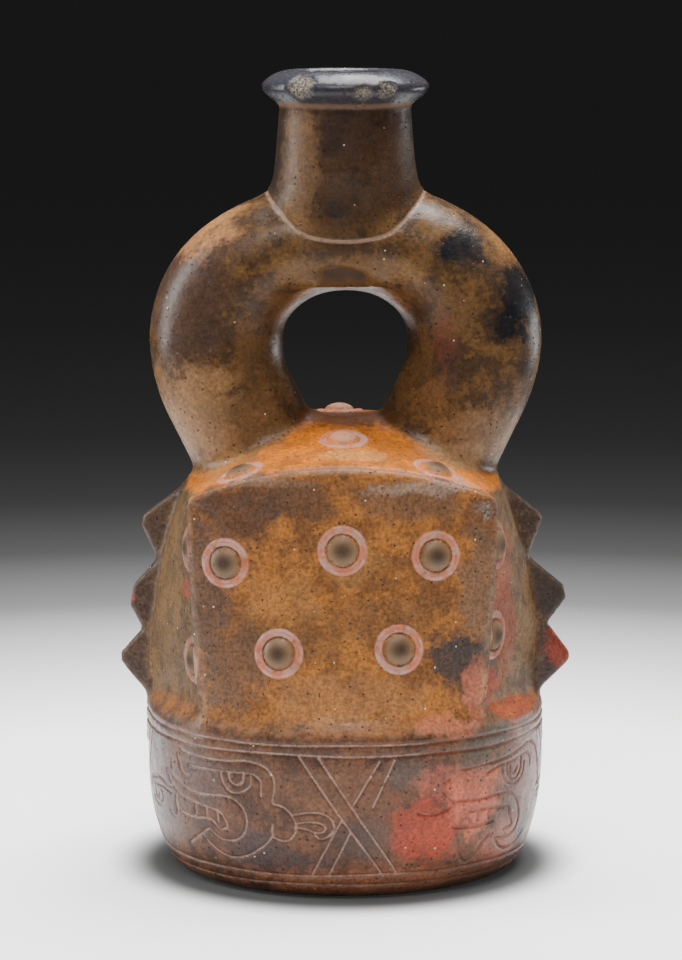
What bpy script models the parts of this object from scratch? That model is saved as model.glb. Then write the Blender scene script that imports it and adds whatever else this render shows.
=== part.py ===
"""A stirrup spout vessel: a hollow, burnished clay pot on a drum-shaped base.

The drum carries a chamber with a bowed panel in front and behind and a row of
three teeth on each side. Round buttons stand on its walls and roof. A thick
stirrup-shaped tube rises from the roof and opens into a short spout. All of it
is one piece of clay, hollow from the spout's mouth to the floor of the drum.

Metres, +Z up, origin at the centre of the flat underside, front panel at -Y.
"""

import math

import bmesh
import bpy
from mathutils import Matrix, Vector

# Drum
FOOT_RADIUS = 0.0540  # the flat underside
DRUM_RADIUS = 0.0692  # the drum at its rim
DRUM_HEEL = 0.0093  # how far the wall draws in towards the foot
DRUM_HEEL_POWER = 3.8  # how late it draws in
HEEL_ROUND = 0.0036  # the rounded edge round the underside
RIM_HEIGHT = 0.0585
RIM_ROUND = 0.0015
SHOULDER_RADIUS = 0.0480  # where the shoulder ends, inside the chamber
SHOULDER_RISE = 0.0130

# Chamber on the drum
CHAMBER_SHIFT = -0.0006  # it stands a little off the drum's middle
PANEL_WIDTH_FOOT = 0.0936
PANEL_WIDTH_EAVE = 0.1046
PANEL_DEPTH_FOOT = 0.0668  # from the middle of the vessel to the panel's middle
PANEL_DEPTH_EAVE = 0.0565
PANEL_FLARE_POWER = 1.7  # how suddenly the panel flares out at its foot
CORNER_DEPTH_FOOT = 0.0485
CORNER_DEPTH_EAVE = 0.0456
# From the chamber's middle to the side seam, at shares of the wall's height
SIDE_SEAM = ((0.0, 0.0680), (0.15, 0.0694), (0.33, 0.0690), (0.52, 0.0667), (0.70, 0.0636), (0.90, 0.0578), (1.0, 0.0542))
WALL_BULGE = 0.0012  # how far each side wall bulges between corner and seam
CHAMBER_BURIED = 0.0080  # how deep the chamber reaches into the drum
CORNER_HEIGHT = 0.1357  # eave above the underside at the panel's corners
ARCH_RISE = 0.0114  # how much the panel's middle stands above its corners
SEAM_HEIGHT = 0.1367  # eave above the underside at the side seams
RIDGE_HEIGHT = 0.1586  # the roof's level middle
RIDGE_SHARE = 0.20  # how far out it is level, as a share of the way to the eave
EAVE_ROUND = 0.0018

# Stirrup and spout
STIRRUP_HALF_WIDTH = 0.0448  # centre line, from the middle to either side
STIRRUP_SIDE_HEIGHT = 0.1855  # centre line where it is widest
STIRRUP_RISE = 0.0355  # from there to the centre line's top
LEG_BEND = 0.0459  # radius of each leg's bend
LEG_LEAN = 25.6  # degrees that each leg leans in
LEG_BURIED = 0.0201  # how deep the legs end under the roof's top, at least
LEG_SIDE_BURIED = 0.0029  # and under the roof at the stirrup's half width
TUBE_TOP_RADIUS = 0.0188  # across the tube, in the stirrup's plane
TUBE_SIDE_RADIUS = 0.0233
TUBE_LEG_RADIUS = 0.0219
TUBE_SIDE_DEPTH = 0.0225  # half the tube's thickness from front to back
TUBE_TOP_DEPTH = 0.0246
SPOUT_RADIUS = 0.0231  # under the lip
SPOUT_SEAT_RADIUS = 0.0256  # where it meets the stirrup
SPOUT_SEAT_HEIGHT = 0.2360
LIP_RADIUS = 0.0289
LIP_HEIGHT = 0.0120  # the lip, measured down from the mouth
TOTAL_HEIGHT = 0.2780
MOUTH_RADIUS = 0.0190  # the rounded edge of the mouth

# Clay thickness
DRUM_WALL = 0.0058
FLOOR = 0.0065
CHAMBER_WALL = 0.0056
STIRRUP_WALL = 0.0052
SPOUT_WALL = 0.0054

# Buttons: a low round plate with a domed boss
BUTTON_RADIUS = 0.0081
BUTTON_PLATE = 0.0006
BOSS_RADIUS = 0.0052
BOSS_HEIGHT = 0.0024
BUTTON_BURIED = 0.0020

# Each button on a panel: share of the half width, share of the wall's height
PANEL_BUTTONS = ((-0.785, 0.683), (-0.008, 0.688), (0.611, 0.695), (-0.446, 0.303), (0.382, 0.318))
# On the roof over each panel: direction as a share of the half width, share of the way out from the ridge
ROOF_BUTTONS = ((-0.80, 0.84), (0.0, 0.53), (0.72, 0.84))
# On the walls right (1) and left (-1) of a panel, seen from in front of it: share of the way from the corner to
# the seam, share of the wall's height
WALL_BUTTONS = {1: ((0.27, 0.77), (0.24, 0.37)), -1: ((0.27, 0.76), (0.24, 0.26))}

# Each side's teeth: heights as shares of the chamber's wall at the root and the tip, upper and lower, and the
# reach past the wall in metres
TOOTH_ROOT = 0.0064  # thickness at the wall
TOOTH_TIP = 0.0028
RIGHT_TEETH = (
    (0.948, 0.836, 0.806, 0.612, 0.0090),
    (0.630, 0.506, 0.446, 0.300, 0.0104),
    (0.372, 0.200, 0.164, 0.030, 0.0100),
)
LEFT_TEETH = (
    (0.947, 0.824, 0.790, 0.604, 0.0097),
    (0.620, 0.510, 0.415, 0.272, 0.0070),
    (0.330, 0.200, 0.155, 0.010, 0.0088),
)

# Fineness of the faceted surface
DRUM_SIDES = 52
DRUM_STEPS = 8
PANEL_STEPS = 6
WALL_STEPS = 4
CHAMBER_LEVELS = 6
ROOF_LEVELS = 4
HOLLOW_SHARE = 0.5  # the hollows take this share of the outside's steps
TUBE_SIDES = 24
ARCH_STEPS = 18
SPOUT_SIDES = 32
BUTTON_SIDES = 12

CLAY = (0.24, 0.13, 0.06, 1.0)
CLAY_ROUGHNESS = 0.38


def between(start, end, share):
    """The value that lies a share of the way from start to end."""
    return start + (end - start) * share


def smooth_through(rows, share):
    """The value at a share of a smooth curve through rows of (share, value)."""
    slopes = []
    for i in range(len(rows)):
        before, after = rows[max(i - 1, 0)], rows[min(i + 1, len(rows) - 1)]
        slopes.append((after[1] - before[1]) / (after[0] - before[0]))
    share = min(max(share, rows[0][0]), rows[-1][0])
    i = max(k for k in range(len(rows) - 1) if rows[k][0] <= share)
    span = rows[i + 1][0] - rows[i][0]
    t = (share - rows[i][0]) / span
    level = rows[i][1] * (1 + 2 * t) * (1 - t) ** 2 + rows[i + 1][1] * t * t * (3 - 2 * t)
    return level + span * (slopes[i] * t * (1 - t) ** 2 - slopes[i + 1] * t * t * (1 - t))


# Blender helpers


def clear_scene():
    for item in list(bpy.data.objects):
        bpy.data.objects.remove(item, do_unlink=True)


def new_collection(name):
    collection = bpy.data.collections.new(name)
    bpy.context.scene.collection.children.link(collection)
    return collection


def clay_material():
    material = bpy.data.materials.new("burnished_clay")
    material.use_nodes = True
    shader = material.node_tree.nodes["Principled BSDF"]
    shader.inputs["Base Color"].default_value = CLAY
    shader.inputs["Roughness"].default_value = CLAY_ROUGHNESS
    shader.inputs["Metallic"].default_value = 0.0
    return material


def add_object(name, mesh, collection, helper=True):
    """Links a mesh as an object. A helper only joins or cuts, so it isn't rendered."""
    item = bpy.data.objects.new(name, mesh)
    collection.objects.link(item)
    if helper:
        item.hide_render = True
        item.display_type = "WIRE"
    return item


def turned(name, profile, sides, collection, helper=True):
    """A turned shape from a profile of (radius, height) that runs down its outer side."""
    mesh = bpy.data.meshes.new(name)
    points = [(radius, 0.0, height) for radius, height in profile]
    edges = [(i, i + 1) for i in range(len(points) - 1)]
    mesh.from_pydata(points, edges, [])
    item = add_object(name, mesh, collection, helper)
    screw = item.modifiers.new("turn", "SCREW")
    screw.axis = "Z"
    screw.steps = sides
    screw.render_steps = sides
    screw.use_merge_vertices = True
    screw.merge_threshold = 0.00001
    return item


def lofted(name, rings, collection):
    """A closed shape through rings of points that all have the same count."""
    shape = bmesh.new()
    rows = [[shape.verts.new(point) for point in ring] for ring in rings]
    count = len(rows[0])
    for lower, upper in zip(rows, rows[1:]):
        for i in range(count):
            j = (i + 1) % count
            shape.faces.new((lower[i], lower[j], upper[j], upper[i]))
    shape.faces.new(reversed(rows[0]))
    shape.faces.new(rows[-1])
    bmesh.ops.recalc_face_normals(shape, faces=shape.faces)
    mesh = bpy.data.meshes.new(name)
    shape.to_mesh(mesh)
    shape.free()
    return add_object(name, mesh, collection)


# Drum: a turned shape, hollow inside


def drum_radius(height):
    """The drum's outer radius at a height below its rim."""
    share = max(0.0, 1.0 - height / (RIM_HEIGHT - RIM_ROUND))
    return DRUM_RADIUS - DRUM_HEEL * share**DRUM_HEEL_POWER


def drum_profile():
    top = RIM_HEIGHT + SHOULDER_RISE
    profile = [(0.0, top), (SHOULDER_RADIUS, top)]
    profile.append((between(DRUM_RADIUS, SHOULDER_RADIUS, 0.5), between(RIM_HEIGHT, top, 0.42)))
    profile.append((DRUM_RADIUS - 2 * RIM_ROUND, RIM_HEIGHT + 0.3 * RIM_ROUND))
    profile.append((DRUM_RADIUS - 0.4 * RIM_ROUND, RIM_HEIGHT - 0.4 * RIM_ROUND))
    for step in range(DRUM_STEPS):
        height = between(RIM_HEIGHT - 1.4 * RIM_ROUND, HEEL_ROUND, (step / (DRUM_STEPS - 1)) ** 0.8)
        profile.append((drum_radius(height), height))
    heel = drum_radius(HEEL_ROUND)
    profile.append((between(FOOT_RADIUS, heel, 0.62), 0.27 * HEEL_ROUND))
    profile.append((FOOT_RADIUS, 0.0))
    profile.append((0.0, 0.0))
    return profile


def drum_hollow_profile():
    """The hollow keeps the wall's thickness under the rim and above the floor."""
    ceiling = RIM_HEIGHT - DRUM_WALL
    profile = [(0.0, ceiling), (DRUM_RADIUS - 1.6 * DRUM_WALL, ceiling)]
    profile.append((DRUM_RADIUS - DRUM_WALL, ceiling - 0.6 * DRUM_WALL))
    for share in (0.45, 0.75):
        height = between(ceiling, FLOOR, share)
        profile.append((drum_radius(height) - DRUM_WALL, height))
    profile.append((drum_radius(FLOOR) - 1.4 * DRUM_WALL, FLOOR + 0.3 * DRUM_WALL))
    profile.append((drum_radius(FLOOR) - 2.2 * DRUM_WALL, FLOOR))
    profile.append((0.0, FLOOR))
    return profile


# Chamber: a loft from a wide oblong at the rim to a narrower one under the roof


def side_reach(share):
    """From the chamber's middle to the side seam, at a share of the wall's height."""
    return smooth_through(SIDE_SEAM, share)


def panel_point(across, share, inset=0.0):
    """A point of the front panel: across runs from -1 to 1, share up from foot to eave."""
    half_width = between(PANEL_WIDTH_FOOT, PANEL_WIDTH_EAVE, max(share, 0.0) ** 0.8) / 2 - inset
    flare = (1.0 - share) ** PANEL_FLARE_POWER
    middle = between(PANEL_DEPTH_EAVE, PANEL_DEPTH_FOOT, flare) - inset
    corner = between(CORNER_DEPTH_EAVE, CORNER_DEPTH_FOOT, 1.0 - share) - inset
    eave = between(CORNER_HEIGHT + ARCH_RISE, CORNER_HEIGHT, across**2)
    height = between(RIM_HEIGHT, eave, share)
    return Vector((half_width * across, -between(middle, corner, across**2), height))


def wall_point(along, share, inset=0.0):
    """A point of the right front side wall: along runs from the corner (0) to the seam (1)."""
    corner = panel_point(1.0, share, inset)
    eave = between(CORNER_HEIGHT, SEAM_HEIGHT, along)
    bulge = WALL_BULGE * math.sin(math.pi * along)
    x = between(corner.x, side_reach(share) - inset, along) + bulge
    return Vector((x, between(corner.y, 0.0, along), between(RIM_HEIGHT, eave, share)))


def chamber_ring(share, inset=0.0, fineness=1.0):
    """The chamber's outline at a share of the wall's height, counter-clockwise from the front."""
    panel_steps = round(PANEL_STEPS * fineness)
    wall_steps = round(WALL_STEPS * fineness)
    quarter = [panel_point(i / panel_steps, share, inset) for i in range(panel_steps)]
    quarter.append(panel_point(0.965, share, inset))
    quarter += [wall_point(i / wall_steps + 0.03 * (i == 0), share, inset) for i in range(wall_steps + 1)]
    right = quarter + [Vector((p.x, -p.y, p.z)) for p in reversed(quarter[:-1])]
    left = [Vector((-p.x, p.y, p.z)) for p in reversed(right[1:-1])]
    return right + left


def roof_height(outward, eave):
    """The roof falls evenly from its level middle to the eave."""
    share = max(0.0, (outward - RIDGE_SHARE) / (1.0 - RIDGE_SHARE))
    return between(RIDGE_HEIGHT, eave, share)


def roof_ring(outward, inset=0.0, fineness=1.0):
    """The roof's outline at a share of the way out from its middle to the eave."""
    ring = []
    for point in chamber_ring(1.0, inset, fineness):
        ring.append(Vector((point.x * outward, point.y * outward, roof_height(outward, point.z))))
    return ring


def chamber_rings(inset=0.0, buried=CHAMBER_BURIED, fineness=1.0):
    """Rings from below the drum's rim up the walls and over the roof. The roof is lowered by the inset."""
    levels = round(CHAMBER_LEVELS * fineness)
    roof_levels = round(ROOF_LEVELS * fineness)
    drop = Vector((0.0, 0.0, inset))
    low = Vector((0.0, 0.0, buried))
    rings = [[point - low for point in chamber_ring(0.0, inset + EAVE_ROUND, fineness)]]
    top_share = 1.0 - (EAVE_ROUND + inset) / (CORNER_HEIGHT - RIM_HEIGHT)
    rings += [chamber_ring(top_share * i / levels, inset, fineness) for i in range(levels + 1)]
    outermost = 1.0 - 0.7 * EAVE_ROUND / PANEL_DEPTH_EAVE
    for i in range(roof_levels + 1):
        ring = roof_ring(between(outermost, 0.8 * RIDGE_SHARE, (i / roof_levels) ** 0.9), inset, fineness)
        rings.append([point - drop for point in ring])
    return rings


def make_chamber(additions, hollows):
    outside = lofted("chamber_outside", chamber_rings(), additions)
    inside = chamber_rings(CHAMBER_WALL, CHAMBER_BURIED + DRUM_WALL, HOLLOW_SHARE)
    hollow = lofted("chamber_hollow", inside, hollows)
    for item in (outside, hollow):
        item.location.x = CHAMBER_SHIFT


# Stirrup: a tube along a rounded arch whose legs lean in to the roof


def leg_end():
    """The legs end below the roof on their inner and on their outer side."""
    outer_roof = roof_height(STIRRUP_HALF_WIDTH / side_reach(1.0), SEAM_HEIGHT)
    return min(RIDGE_HEIGHT - LEG_BURIED, outer_roof - LEG_SIDE_BURIED)


def stirrup_line(fineness):
    """Half the centre line, from the top down the right leg: (x, height, radius across, depth)."""
    line = []
    quarter = round(ARCH_STEPS / 2 * fineness)
    for i in range(quarter + 1):
        angle = math.radians(90.0 * (1.0 - i / quarter))
        x, height = STIRRUP_HALF_WIDTH * math.cos(angle), STIRRUP_SIDE_HEIGHT + STIRRUP_RISE * math.sin(angle)
        share = math.cos(angle) ** 2
        across = between(TUBE_TOP_RADIUS, TUBE_SIDE_RADIUS, share)
        line.append((x, height, across, between(TUBE_TOP_DEPTH, TUBE_SIDE_DEPTH, share)))
    bends = round(ARCH_STEPS / 4 * fineness)
    ends = 2
    for i in range(1, bends + ends + 1):
        angle = math.radians(LEG_LEAN * min(i / bends, 1.0))
        x = STIRRUP_HALF_WIDTH - LEG_BEND * (1.0 - math.cos(angle))
        height = STIRRUP_SIDE_HEIGHT - LEG_BEND * math.sin(angle)
        drop = (height - leg_end()) * max(0.0, (i - bends) / ends)
        across = between(TUBE_SIDE_RADIUS, TUBE_LEG_RADIUS, i / (bends + ends))
        line.append((x - drop * math.tan(angle), height - drop, across, TUBE_SIDE_DEPTH))
    return line


def stirrup_rings(inset=0.0, fineness=1.0):
    """Oval rings square to the centre line, from the left leg's end over the top to the right one's."""
    sides = 2 * round(TUBE_SIDES / 2 * (1 + fineness) / 2)
    half = stirrup_line(fineness)
    line = [(-x, *rest) for x, *rest in reversed(half[1:])] + half
    rings = []
    for i, (x, height, across, depth) in enumerate(line):
        before, after = line[max(i - 1, 0)], line[min(i + 1, len(line) - 1)]
        ahead = Vector((after[0] - before[0], 0.0, after[1] - before[1])).normalized()
        outward = Vector((-ahead.z, 0.0, ahead.x))
        ring = []
        for side in range(sides):
            angle = 2 * math.pi * side / sides
            offset = outward * ((across - inset) * math.cos(angle))
            ring.append(Vector((x, (depth - inset) * math.sin(angle), height)) + offset)
        rings.append(ring)
    return rings


def make_stirrup(additions, hollows):
    lofted("stirrup_outside", stirrup_rings(), additions)
    lofted("stirrup_bore", stirrup_rings(STIRRUP_WALL, HOLLOW_SHARE), hollows)


# Spout: turned, with an out-turned lip, and a bore down to the stirrup's


def spout_profile():
    top = TOTAL_HEIGHT
    under_lip = top - LIP_HEIGHT
    stirrup_top = STIRRUP_SIDE_HEIGHT + STIRRUP_RISE
    lip_reach = LIP_RADIUS - SPOUT_RADIUS
    mouth_reach = LIP_RADIUS - MOUTH_RADIUS
    profile = [
        (0.0, top - 0.12 * LIP_HEIGHT),
        (MOUTH_RADIUS - 0.0008, top - 0.12 * LIP_HEIGHT),
        (MOUTH_RADIUS + 0.0005, top),
        (MOUTH_RADIUS + 0.22 * mouth_reach, top - 0.03 * LIP_HEIGHT),
        (LIP_RADIUS - 0.22 * mouth_reach, top - 0.30 * LIP_HEIGHT),
        (LIP_RADIUS, top - 0.52 * LIP_HEIGHT),
        (LIP_RADIUS - 0.05 * lip_reach, top - 0.64 * LIP_HEIGHT),
        (SPOUT_RADIUS + 0.45 * lip_reach, top - 0.83 * LIP_HEIGHT),
        (SPOUT_RADIUS + 0.02 * lip_reach, under_lip),
    ]
    for share in (0.35, 0.7):
        radius = between(SPOUT_RADIUS, SPOUT_SEAT_RADIUS, 0.75 * share)
        profile.append((radius, between(under_lip, SPOUT_SEAT_HEIGHT, share)))
    profile.append((SPOUT_SEAT_RADIUS, SPOUT_SEAT_HEIGHT))
    profile.append((TUBE_TOP_DEPTH - 0.0004, stirrup_top))
    profile.append((0.0, stirrup_top))
    return profile


def make_spout(additions, hollows):
    turned("spout_outside", spout_profile(), SPOUT_SIDES, additions)
    bore = SPOUT_RADIUS - SPOUT_WALL
    above = TOTAL_HEIGHT + LIP_HEIGHT
    stirrup_top = STIRRUP_SIDE_HEIGHT + STIRRUP_RISE
    profile = [
        (0.0, above),
        (bore, above),
        (bore, SPOUT_SEAT_HEIGHT),
        (TUBE_TOP_DEPTH - STIRRUP_WALL - 0.0015, stirrup_top + 0.4 * TUBE_TOP_RADIUS),
        (0.5 * bore, stirrup_top),
        (0.0, stirrup_top),
    ]
    turned("spout_bore", profile, round(0.7 * SPOUT_SIDES), hollows)


# Teeth: a tapered block for each, rooted in the side wall


def make_tooth(name, side, tooth, additions):
    root_top, tip_top, tip_bottom, root_bottom, reach = tooth
    buried = 0.75 * CHAMBER_WALL
    shape = bmesh.new()
    bmesh.ops.create_cube(shape, size=2.0)
    for corner in shape.verts:
        at_tip, upper = corner.co.x > 0, corner.co.z > 0
        tip = tip_top if upper else tip_bottom
        root = root_top if upper else root_bottom
        slope = (root - tip) / reach
        share = tip if at_tip else root + slope * buried
        past = reach if at_tip else -buried
        wall = side_reach(tip if at_tip else root)
        thickness = TOOTH_TIP if at_tip else TOOTH_ROOT
        height = between(RIM_HEIGHT, SEAM_HEIGHT, share)
        corner.co = (side * (wall + past) + CHAMBER_SHIFT, corner.co.y * thickness / 2, height)
    bmesh.ops.recalc_face_normals(shape, faces=shape.faces)
    mesh = bpy.data.meshes.new(name)
    shape.to_mesh(mesh)
    shape.free()
    add_object(name, mesh, additions)


def make_teeth(additions):
    for side, teeth, word in ((1, RIGHT_TEETH, "right"), (-1, LEFT_TEETH, "left")):
        for number, tooth in enumerate(teeth, start=1):
            make_tooth(f"{word}_tooth_{number}", side, tooth, additions)


# Buttons: turned, and set square to the surface under them


def button_profile():
    return [
        (0.0, BOSS_HEIGHT),
        (0.66 * BOSS_RADIUS, 0.78 * BOSS_HEIGHT),
        (BOSS_RADIUS, BUTTON_PLATE),
        (0.95 * BUTTON_RADIUS, BUTTON_PLATE),
        (BUTTON_RADIUS, -0.0002),
        (0.86 * BUTTON_RADIUS, -BUTTON_BURIED),
        (0.0, -BUTTON_BURIED),
    ]


def place_button(name, surface, first, second, flips, additions):
    """Sets a button on surface(first, second), mirrored by flips, with its face along the outward normal."""
    step = 0.01
    point = surface(first, second)
    along = surface(first + step, second) - surface(first - step, second)
    upward = surface(first, second + step) - surface(first, second - step)
    normal = along.cross(upward).normalized()
    if normal.dot(Vector((point.x, point.y, 0.0))) + 0.1 * normal.z < 0:
        normal.negate()
    mirror = Vector((*flips, 1.0))
    place = Matrix.Translation(point * mirror + Vector((CHAMBER_SHIFT, 0.0, 0.0)))
    item = turned(name, button_profile(), BUTTON_SIDES, additions)
    item.matrix_world = place @ (normal * mirror).to_track_quat("Z", "Y").to_matrix().to_4x4()


def roof_point(across, outward):
    """A point of the roof over the front panel, on the line from the ridge to the eave."""
    eave = panel_point(across, 1.0)
    return Vector((eave.x * outward, eave.y * outward, roof_height(outward, eave.z)))


def make_buttons(additions):
    for side, word in ((1, "front"), (-1, "back")):
        for number, (across, share) in enumerate(PANEL_BUTTONS, start=1):
            place_button(f"{word}_panel_button_{number}", panel_point, across, share, (side, side), additions)
        for number, (across, outward) in enumerate(ROOF_BUTTONS, start=1):
            place_button(f"{word}_roof_button_{number}", roof_point, across, outward, (side, side), additions)
        for across, hand in ((1, "right"), (-1, "left")):
            for number, (along, share) in enumerate(WALL_BUTTONS[across * side], start=1):
                name = f"{word}_{hand}_wall_button_{number}"
                place_button(name, wall_point, along, share, (across, side), additions)


# The vessel: everything joined, then hollowed


def join_and_hollow(vessel, additions, hollows):
    for name, operation, collection in (("join", "UNION", additions), ("hollow", "DIFFERENCE", hollows)):
        boolean = vessel.modifiers.new(name, "BOOLEAN")
        boolean.operation = operation
        boolean.operand_type = "COLLECTION"
        boolean.collection = collection
        boolean.solver = "EXACT"


def main():
    clear_scene()
    parts = new_collection("stirrup_spout_vessel")
    additions = new_collection("joined_clay")
    hollows = new_collection("hollows")
    vessel = turned("vessel", drum_profile(), DRUM_SIDES, parts, helper=False)
    turned("drum_hollow", drum_hollow_profile(), round(0.7 * DRUM_SIDES), hollows)
    make_chamber(additions, hollows)
    make_stirrup(additions, hollows)
    make_spout(additions, hollows)
    make_teeth(additions)
    make_buttons(additions)
    join_and_hollow(vessel, additions, hollows)
    vessel.data.materials.append(clay_material())


main()
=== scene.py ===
# %% [markdown]
# # A stirrup spout vessel
# An old hand-built bottle of burnished clay. A drum carries a chamber with bowed panels and toothed
# sides, and a thick tube rises from the roof like a stirrup and ends in a short spout. The packed
# model is the frame here: its one solid gives the size, and this lesson gives the clay its surface.

import math

import bmesh
import bpy
import numpy as np
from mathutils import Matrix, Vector, kdtree


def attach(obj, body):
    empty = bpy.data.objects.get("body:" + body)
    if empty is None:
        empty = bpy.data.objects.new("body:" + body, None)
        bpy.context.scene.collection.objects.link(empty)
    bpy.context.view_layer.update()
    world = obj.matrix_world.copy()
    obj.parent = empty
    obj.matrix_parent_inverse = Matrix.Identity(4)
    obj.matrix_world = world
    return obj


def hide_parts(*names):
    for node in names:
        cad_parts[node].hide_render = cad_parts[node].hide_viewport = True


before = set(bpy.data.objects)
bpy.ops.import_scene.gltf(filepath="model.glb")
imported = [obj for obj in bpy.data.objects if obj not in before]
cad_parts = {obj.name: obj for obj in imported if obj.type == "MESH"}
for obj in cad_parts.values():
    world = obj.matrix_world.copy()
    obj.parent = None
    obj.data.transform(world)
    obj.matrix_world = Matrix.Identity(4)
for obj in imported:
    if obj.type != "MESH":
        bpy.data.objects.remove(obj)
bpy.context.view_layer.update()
MM = 0.001


def placed(name, data):
    """A new object for the data, in the scene."""
    made = bpy.data.objects.new(name, data)
    bpy.context.scene.collection.objects.link(made)
    return made


# %% [markdown]
# ## Camera
# The camera comes first, because every later look is judged through it. It stands 1.35 m in front of
# the vessel, a little above the spout, and looks down by eight degrees. The lens is long, so the
# vessel's sides stay nearly parallel.

# %% Camera
CAMERA_DISTANCE = 1.350
CAMERA_HEIGHT = 0.32856
CAMERA_SIDE = -0.00147
LOOK_DOWN = 8.152
LENS = 146.24

camera_data = bpy.data.cameras.new("camera")
camera_data.sensor_fit = "VERTICAL"
camera_data.sensor_height = 36.0
camera_data.lens = LENS
camera = placed("camera", camera_data)
camera.location = (CAMERA_SIDE, -CAMERA_DISTANCE, CAMERA_HEIGHT)
camera.rotation_euler = (math.radians(90.0 - LOOK_DOWN), 0.0, 0.0)
bpy.context.scene.camera = camera
print("camera", [round(value, 4) for value in camera.location], "lens", LENS)

# %% [markdown]
# ## Nodes from expressions
# Shader maths gets long when each node is placed by hand. A small class wraps a socket, so that
# `1 - mask * 0.5` adds the Math nodes by itself. The same class serves Geometry Nodes.


# %% A socket that can be calculated with
class Socket:
    """A node's output that can be added, multiplied and compared like a number."""

    def __init__(self, tree, output):
        self.tree = tree
        self.output = output

    def node(self, kind, values=None, output=0, **settings):
        """Adds a node. Settings go first, then values or links by the socket's name or number."""
        added = self.tree.nodes.new(kind)
        for key, value in settings.items():
            setattr(added, key, value)
        for key, value in (values or {}).items():
            if isinstance(value, Socket):
                self.tree.links.new(value.output, added.inputs[key])
            else:
                added.inputs[key].default_value = value
        return Socket(self.tree, added.outputs[output])

    def maths(self, operation, *others, clamp=False):
        values = dict(enumerate((self, *others)))
        return self.node("ShaderNodeMath", values, operation=operation, use_clamp=clamp)

    def vector(self, operation, *others, output=0):
        values = dict(enumerate((self, *others)))
        return self.node("ShaderNodeVectorMath", values, output, operation=operation)

    def scaled(self, factor):
        return self.node("ShaderNodeVectorMath", {0: self, "Scale": factor}, operation="SCALE")

    def __add__(self, other):
        return self.maths("ADD", other)

    def __sub__(self, other):
        return self.maths("SUBTRACT", other)

    def __mul__(self, other):
        return self.maths("MULTIPLY", other)

    def __truediv__(self, other):
        return self.maths("DIVIDE", other)

    def __pow__(self, other):
        return self.maths("POWER", other)

    def __rsub__(self, other):
        return self.constant(other).maths("SUBTRACT", self)

    def constant(self, value):
        return self.node("ShaderNodeMath", {0: value, 1: 0.0}, operation="ADD")

    def clamped(self):
        return self.maths("ADD", 0.0, clamp=True)

    def smooth_step(self, low, high, start=0.0, end=1.0):
        """Goes smoothly from start to end while this value goes from low to high."""
        values = {"Value": self, "From Min": low, "From Max": high, "To Min": start, "To Max": end}
        return self.node("ShaderNodeMapRange", values, interpolation_type="SMOOTHSTEP")

    def ramp(self, stops):
        """A colour ramp over this value, from rows of (position, colour)."""
        shade = self.node("ShaderNodeValToRGB", {0: self})
        elements = shade.output.node.color_ramp.elements
        for position, color in stops[1:-1]:
            elements.new(position).color = (*color, 1.0)
        for element, (position, color) in ((elements[0], stops[0]), (elements[-1], stops[-1])):
            element.position, element.color = position, (*color, 1.0)
        return shade

    def mix(self, low, high):
        """Mixes two colours by this value."""
        mixer = self.tree.nodes.new("ShaderNodeMix")
        mixer.data_type = "RGBA"
        self.tree.links.new(self.output, mixer.inputs[0])
        for socket, value in ((mixer.inputs[6], low), (mixer.inputs[7], high)):
            if isinstance(value, Socket):
                self.tree.links.new(value.output, socket)
            else:
                socket.default_value = (*value, 1.0)
        return Socket(self.tree, mixer.outputs[2])


print("socket class ready")

# %% [markdown]
# ## The clay body
# The real vessel was joined from parts while the clay was soft, and each joint was smoothed by hand.
# A union of meshes would leave knife-sharp joints. So the body is described as one field instead: a
# function that is negative inside the clay and positive outside. Two fields join through a smooth
# minimum, which leaves a fillet, and a smooth maximum rounds an edge. Lengths here are millimetres.


# %% Smooth joins
def join(first, second, reach):
    """The smaller of two distances, with a fillet where they are closer than the reach."""
    near = np.maximum(reach - np.abs(first - second), 0.0) / reach
    return np.minimum(first, second) - near * near * reach / 4


def trim(first, second, reach):
    """The larger of two distances, with a rounded edge."""
    return -join(-first, -second, reach)


def between(start, end, share):
    return start + (end - start) * share


def through(rows, share):
    """A smooth curve through rows of (share, value)."""
    shares, values = (np.array(column) for column in zip(*rows))
    slopes = np.gradient(values, shares)
    share = np.clip(share, shares[0], shares[-1])
    i = np.clip(np.searchsorted(shares, share, side="right") - 1, 0, len(shares) - 2)
    span = shares[i + 1] - shares[i]
    t = (share - shares[i]) / span
    level = values[i] * (1 + 2 * t) * (1 - t) ** 2 + values[i + 1] * t * t * (3 - 2 * t)
    return level + span * (slopes[i] * t * (1 - t) ** 2 - slopes[i + 1] * t * t * (1 - t))


print("a join of 0 and 0 with reach 4:", join(np.zeros(1), np.zeros(1), 4.0))

# %% [markdown]
# The drum is a turned shape: a wall that draws in towards the foot, a flat underside, and a shoulder
# that climbs from the rim to the chamber.

# %% Drum
DRUM_RADIUS = 69.2
DRUM_HEEL = 9.3
DRUM_HEEL_POWER = 3.8
RIM_HEIGHT = 58.5
RIM_ROUND = 2.6
HEEL_ROUND = 5.5
SHOULDER_SLOPE = 0.64


def drum_radius(height):
    share = np.clip(1.0 - height / (RIM_HEIGHT - 1.5), 0.0, 1.0)
    return DRUM_RADIUS - DRUM_HEEL * share**DRUM_HEEL_POWER


def drum_field(x, y, z):
    radius = np.hypot(x, y)
    wall = radius - drum_radius(z)
    shoulder = z - RIM_HEIGHT + 0.2 - (DRUM_RADIUS - radius) * SHOULDER_SLOPE
    shoulder *= math.cos(math.atan(SHOULDER_SLOPE))
    return trim(trim(wall, shoulder, RIM_ROUND), -z, HEEL_ROUND)


print("drum radius at the foot, middle and rim:", drum_radius(np.array([0.0, 20.0, RIM_HEIGHT])))

# %% [markdown]
# The chamber has a bowed panel in front and behind, and two flat walls on each side that meet in a
# seam. The roof falls from a level middle to the arched eave.

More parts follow.
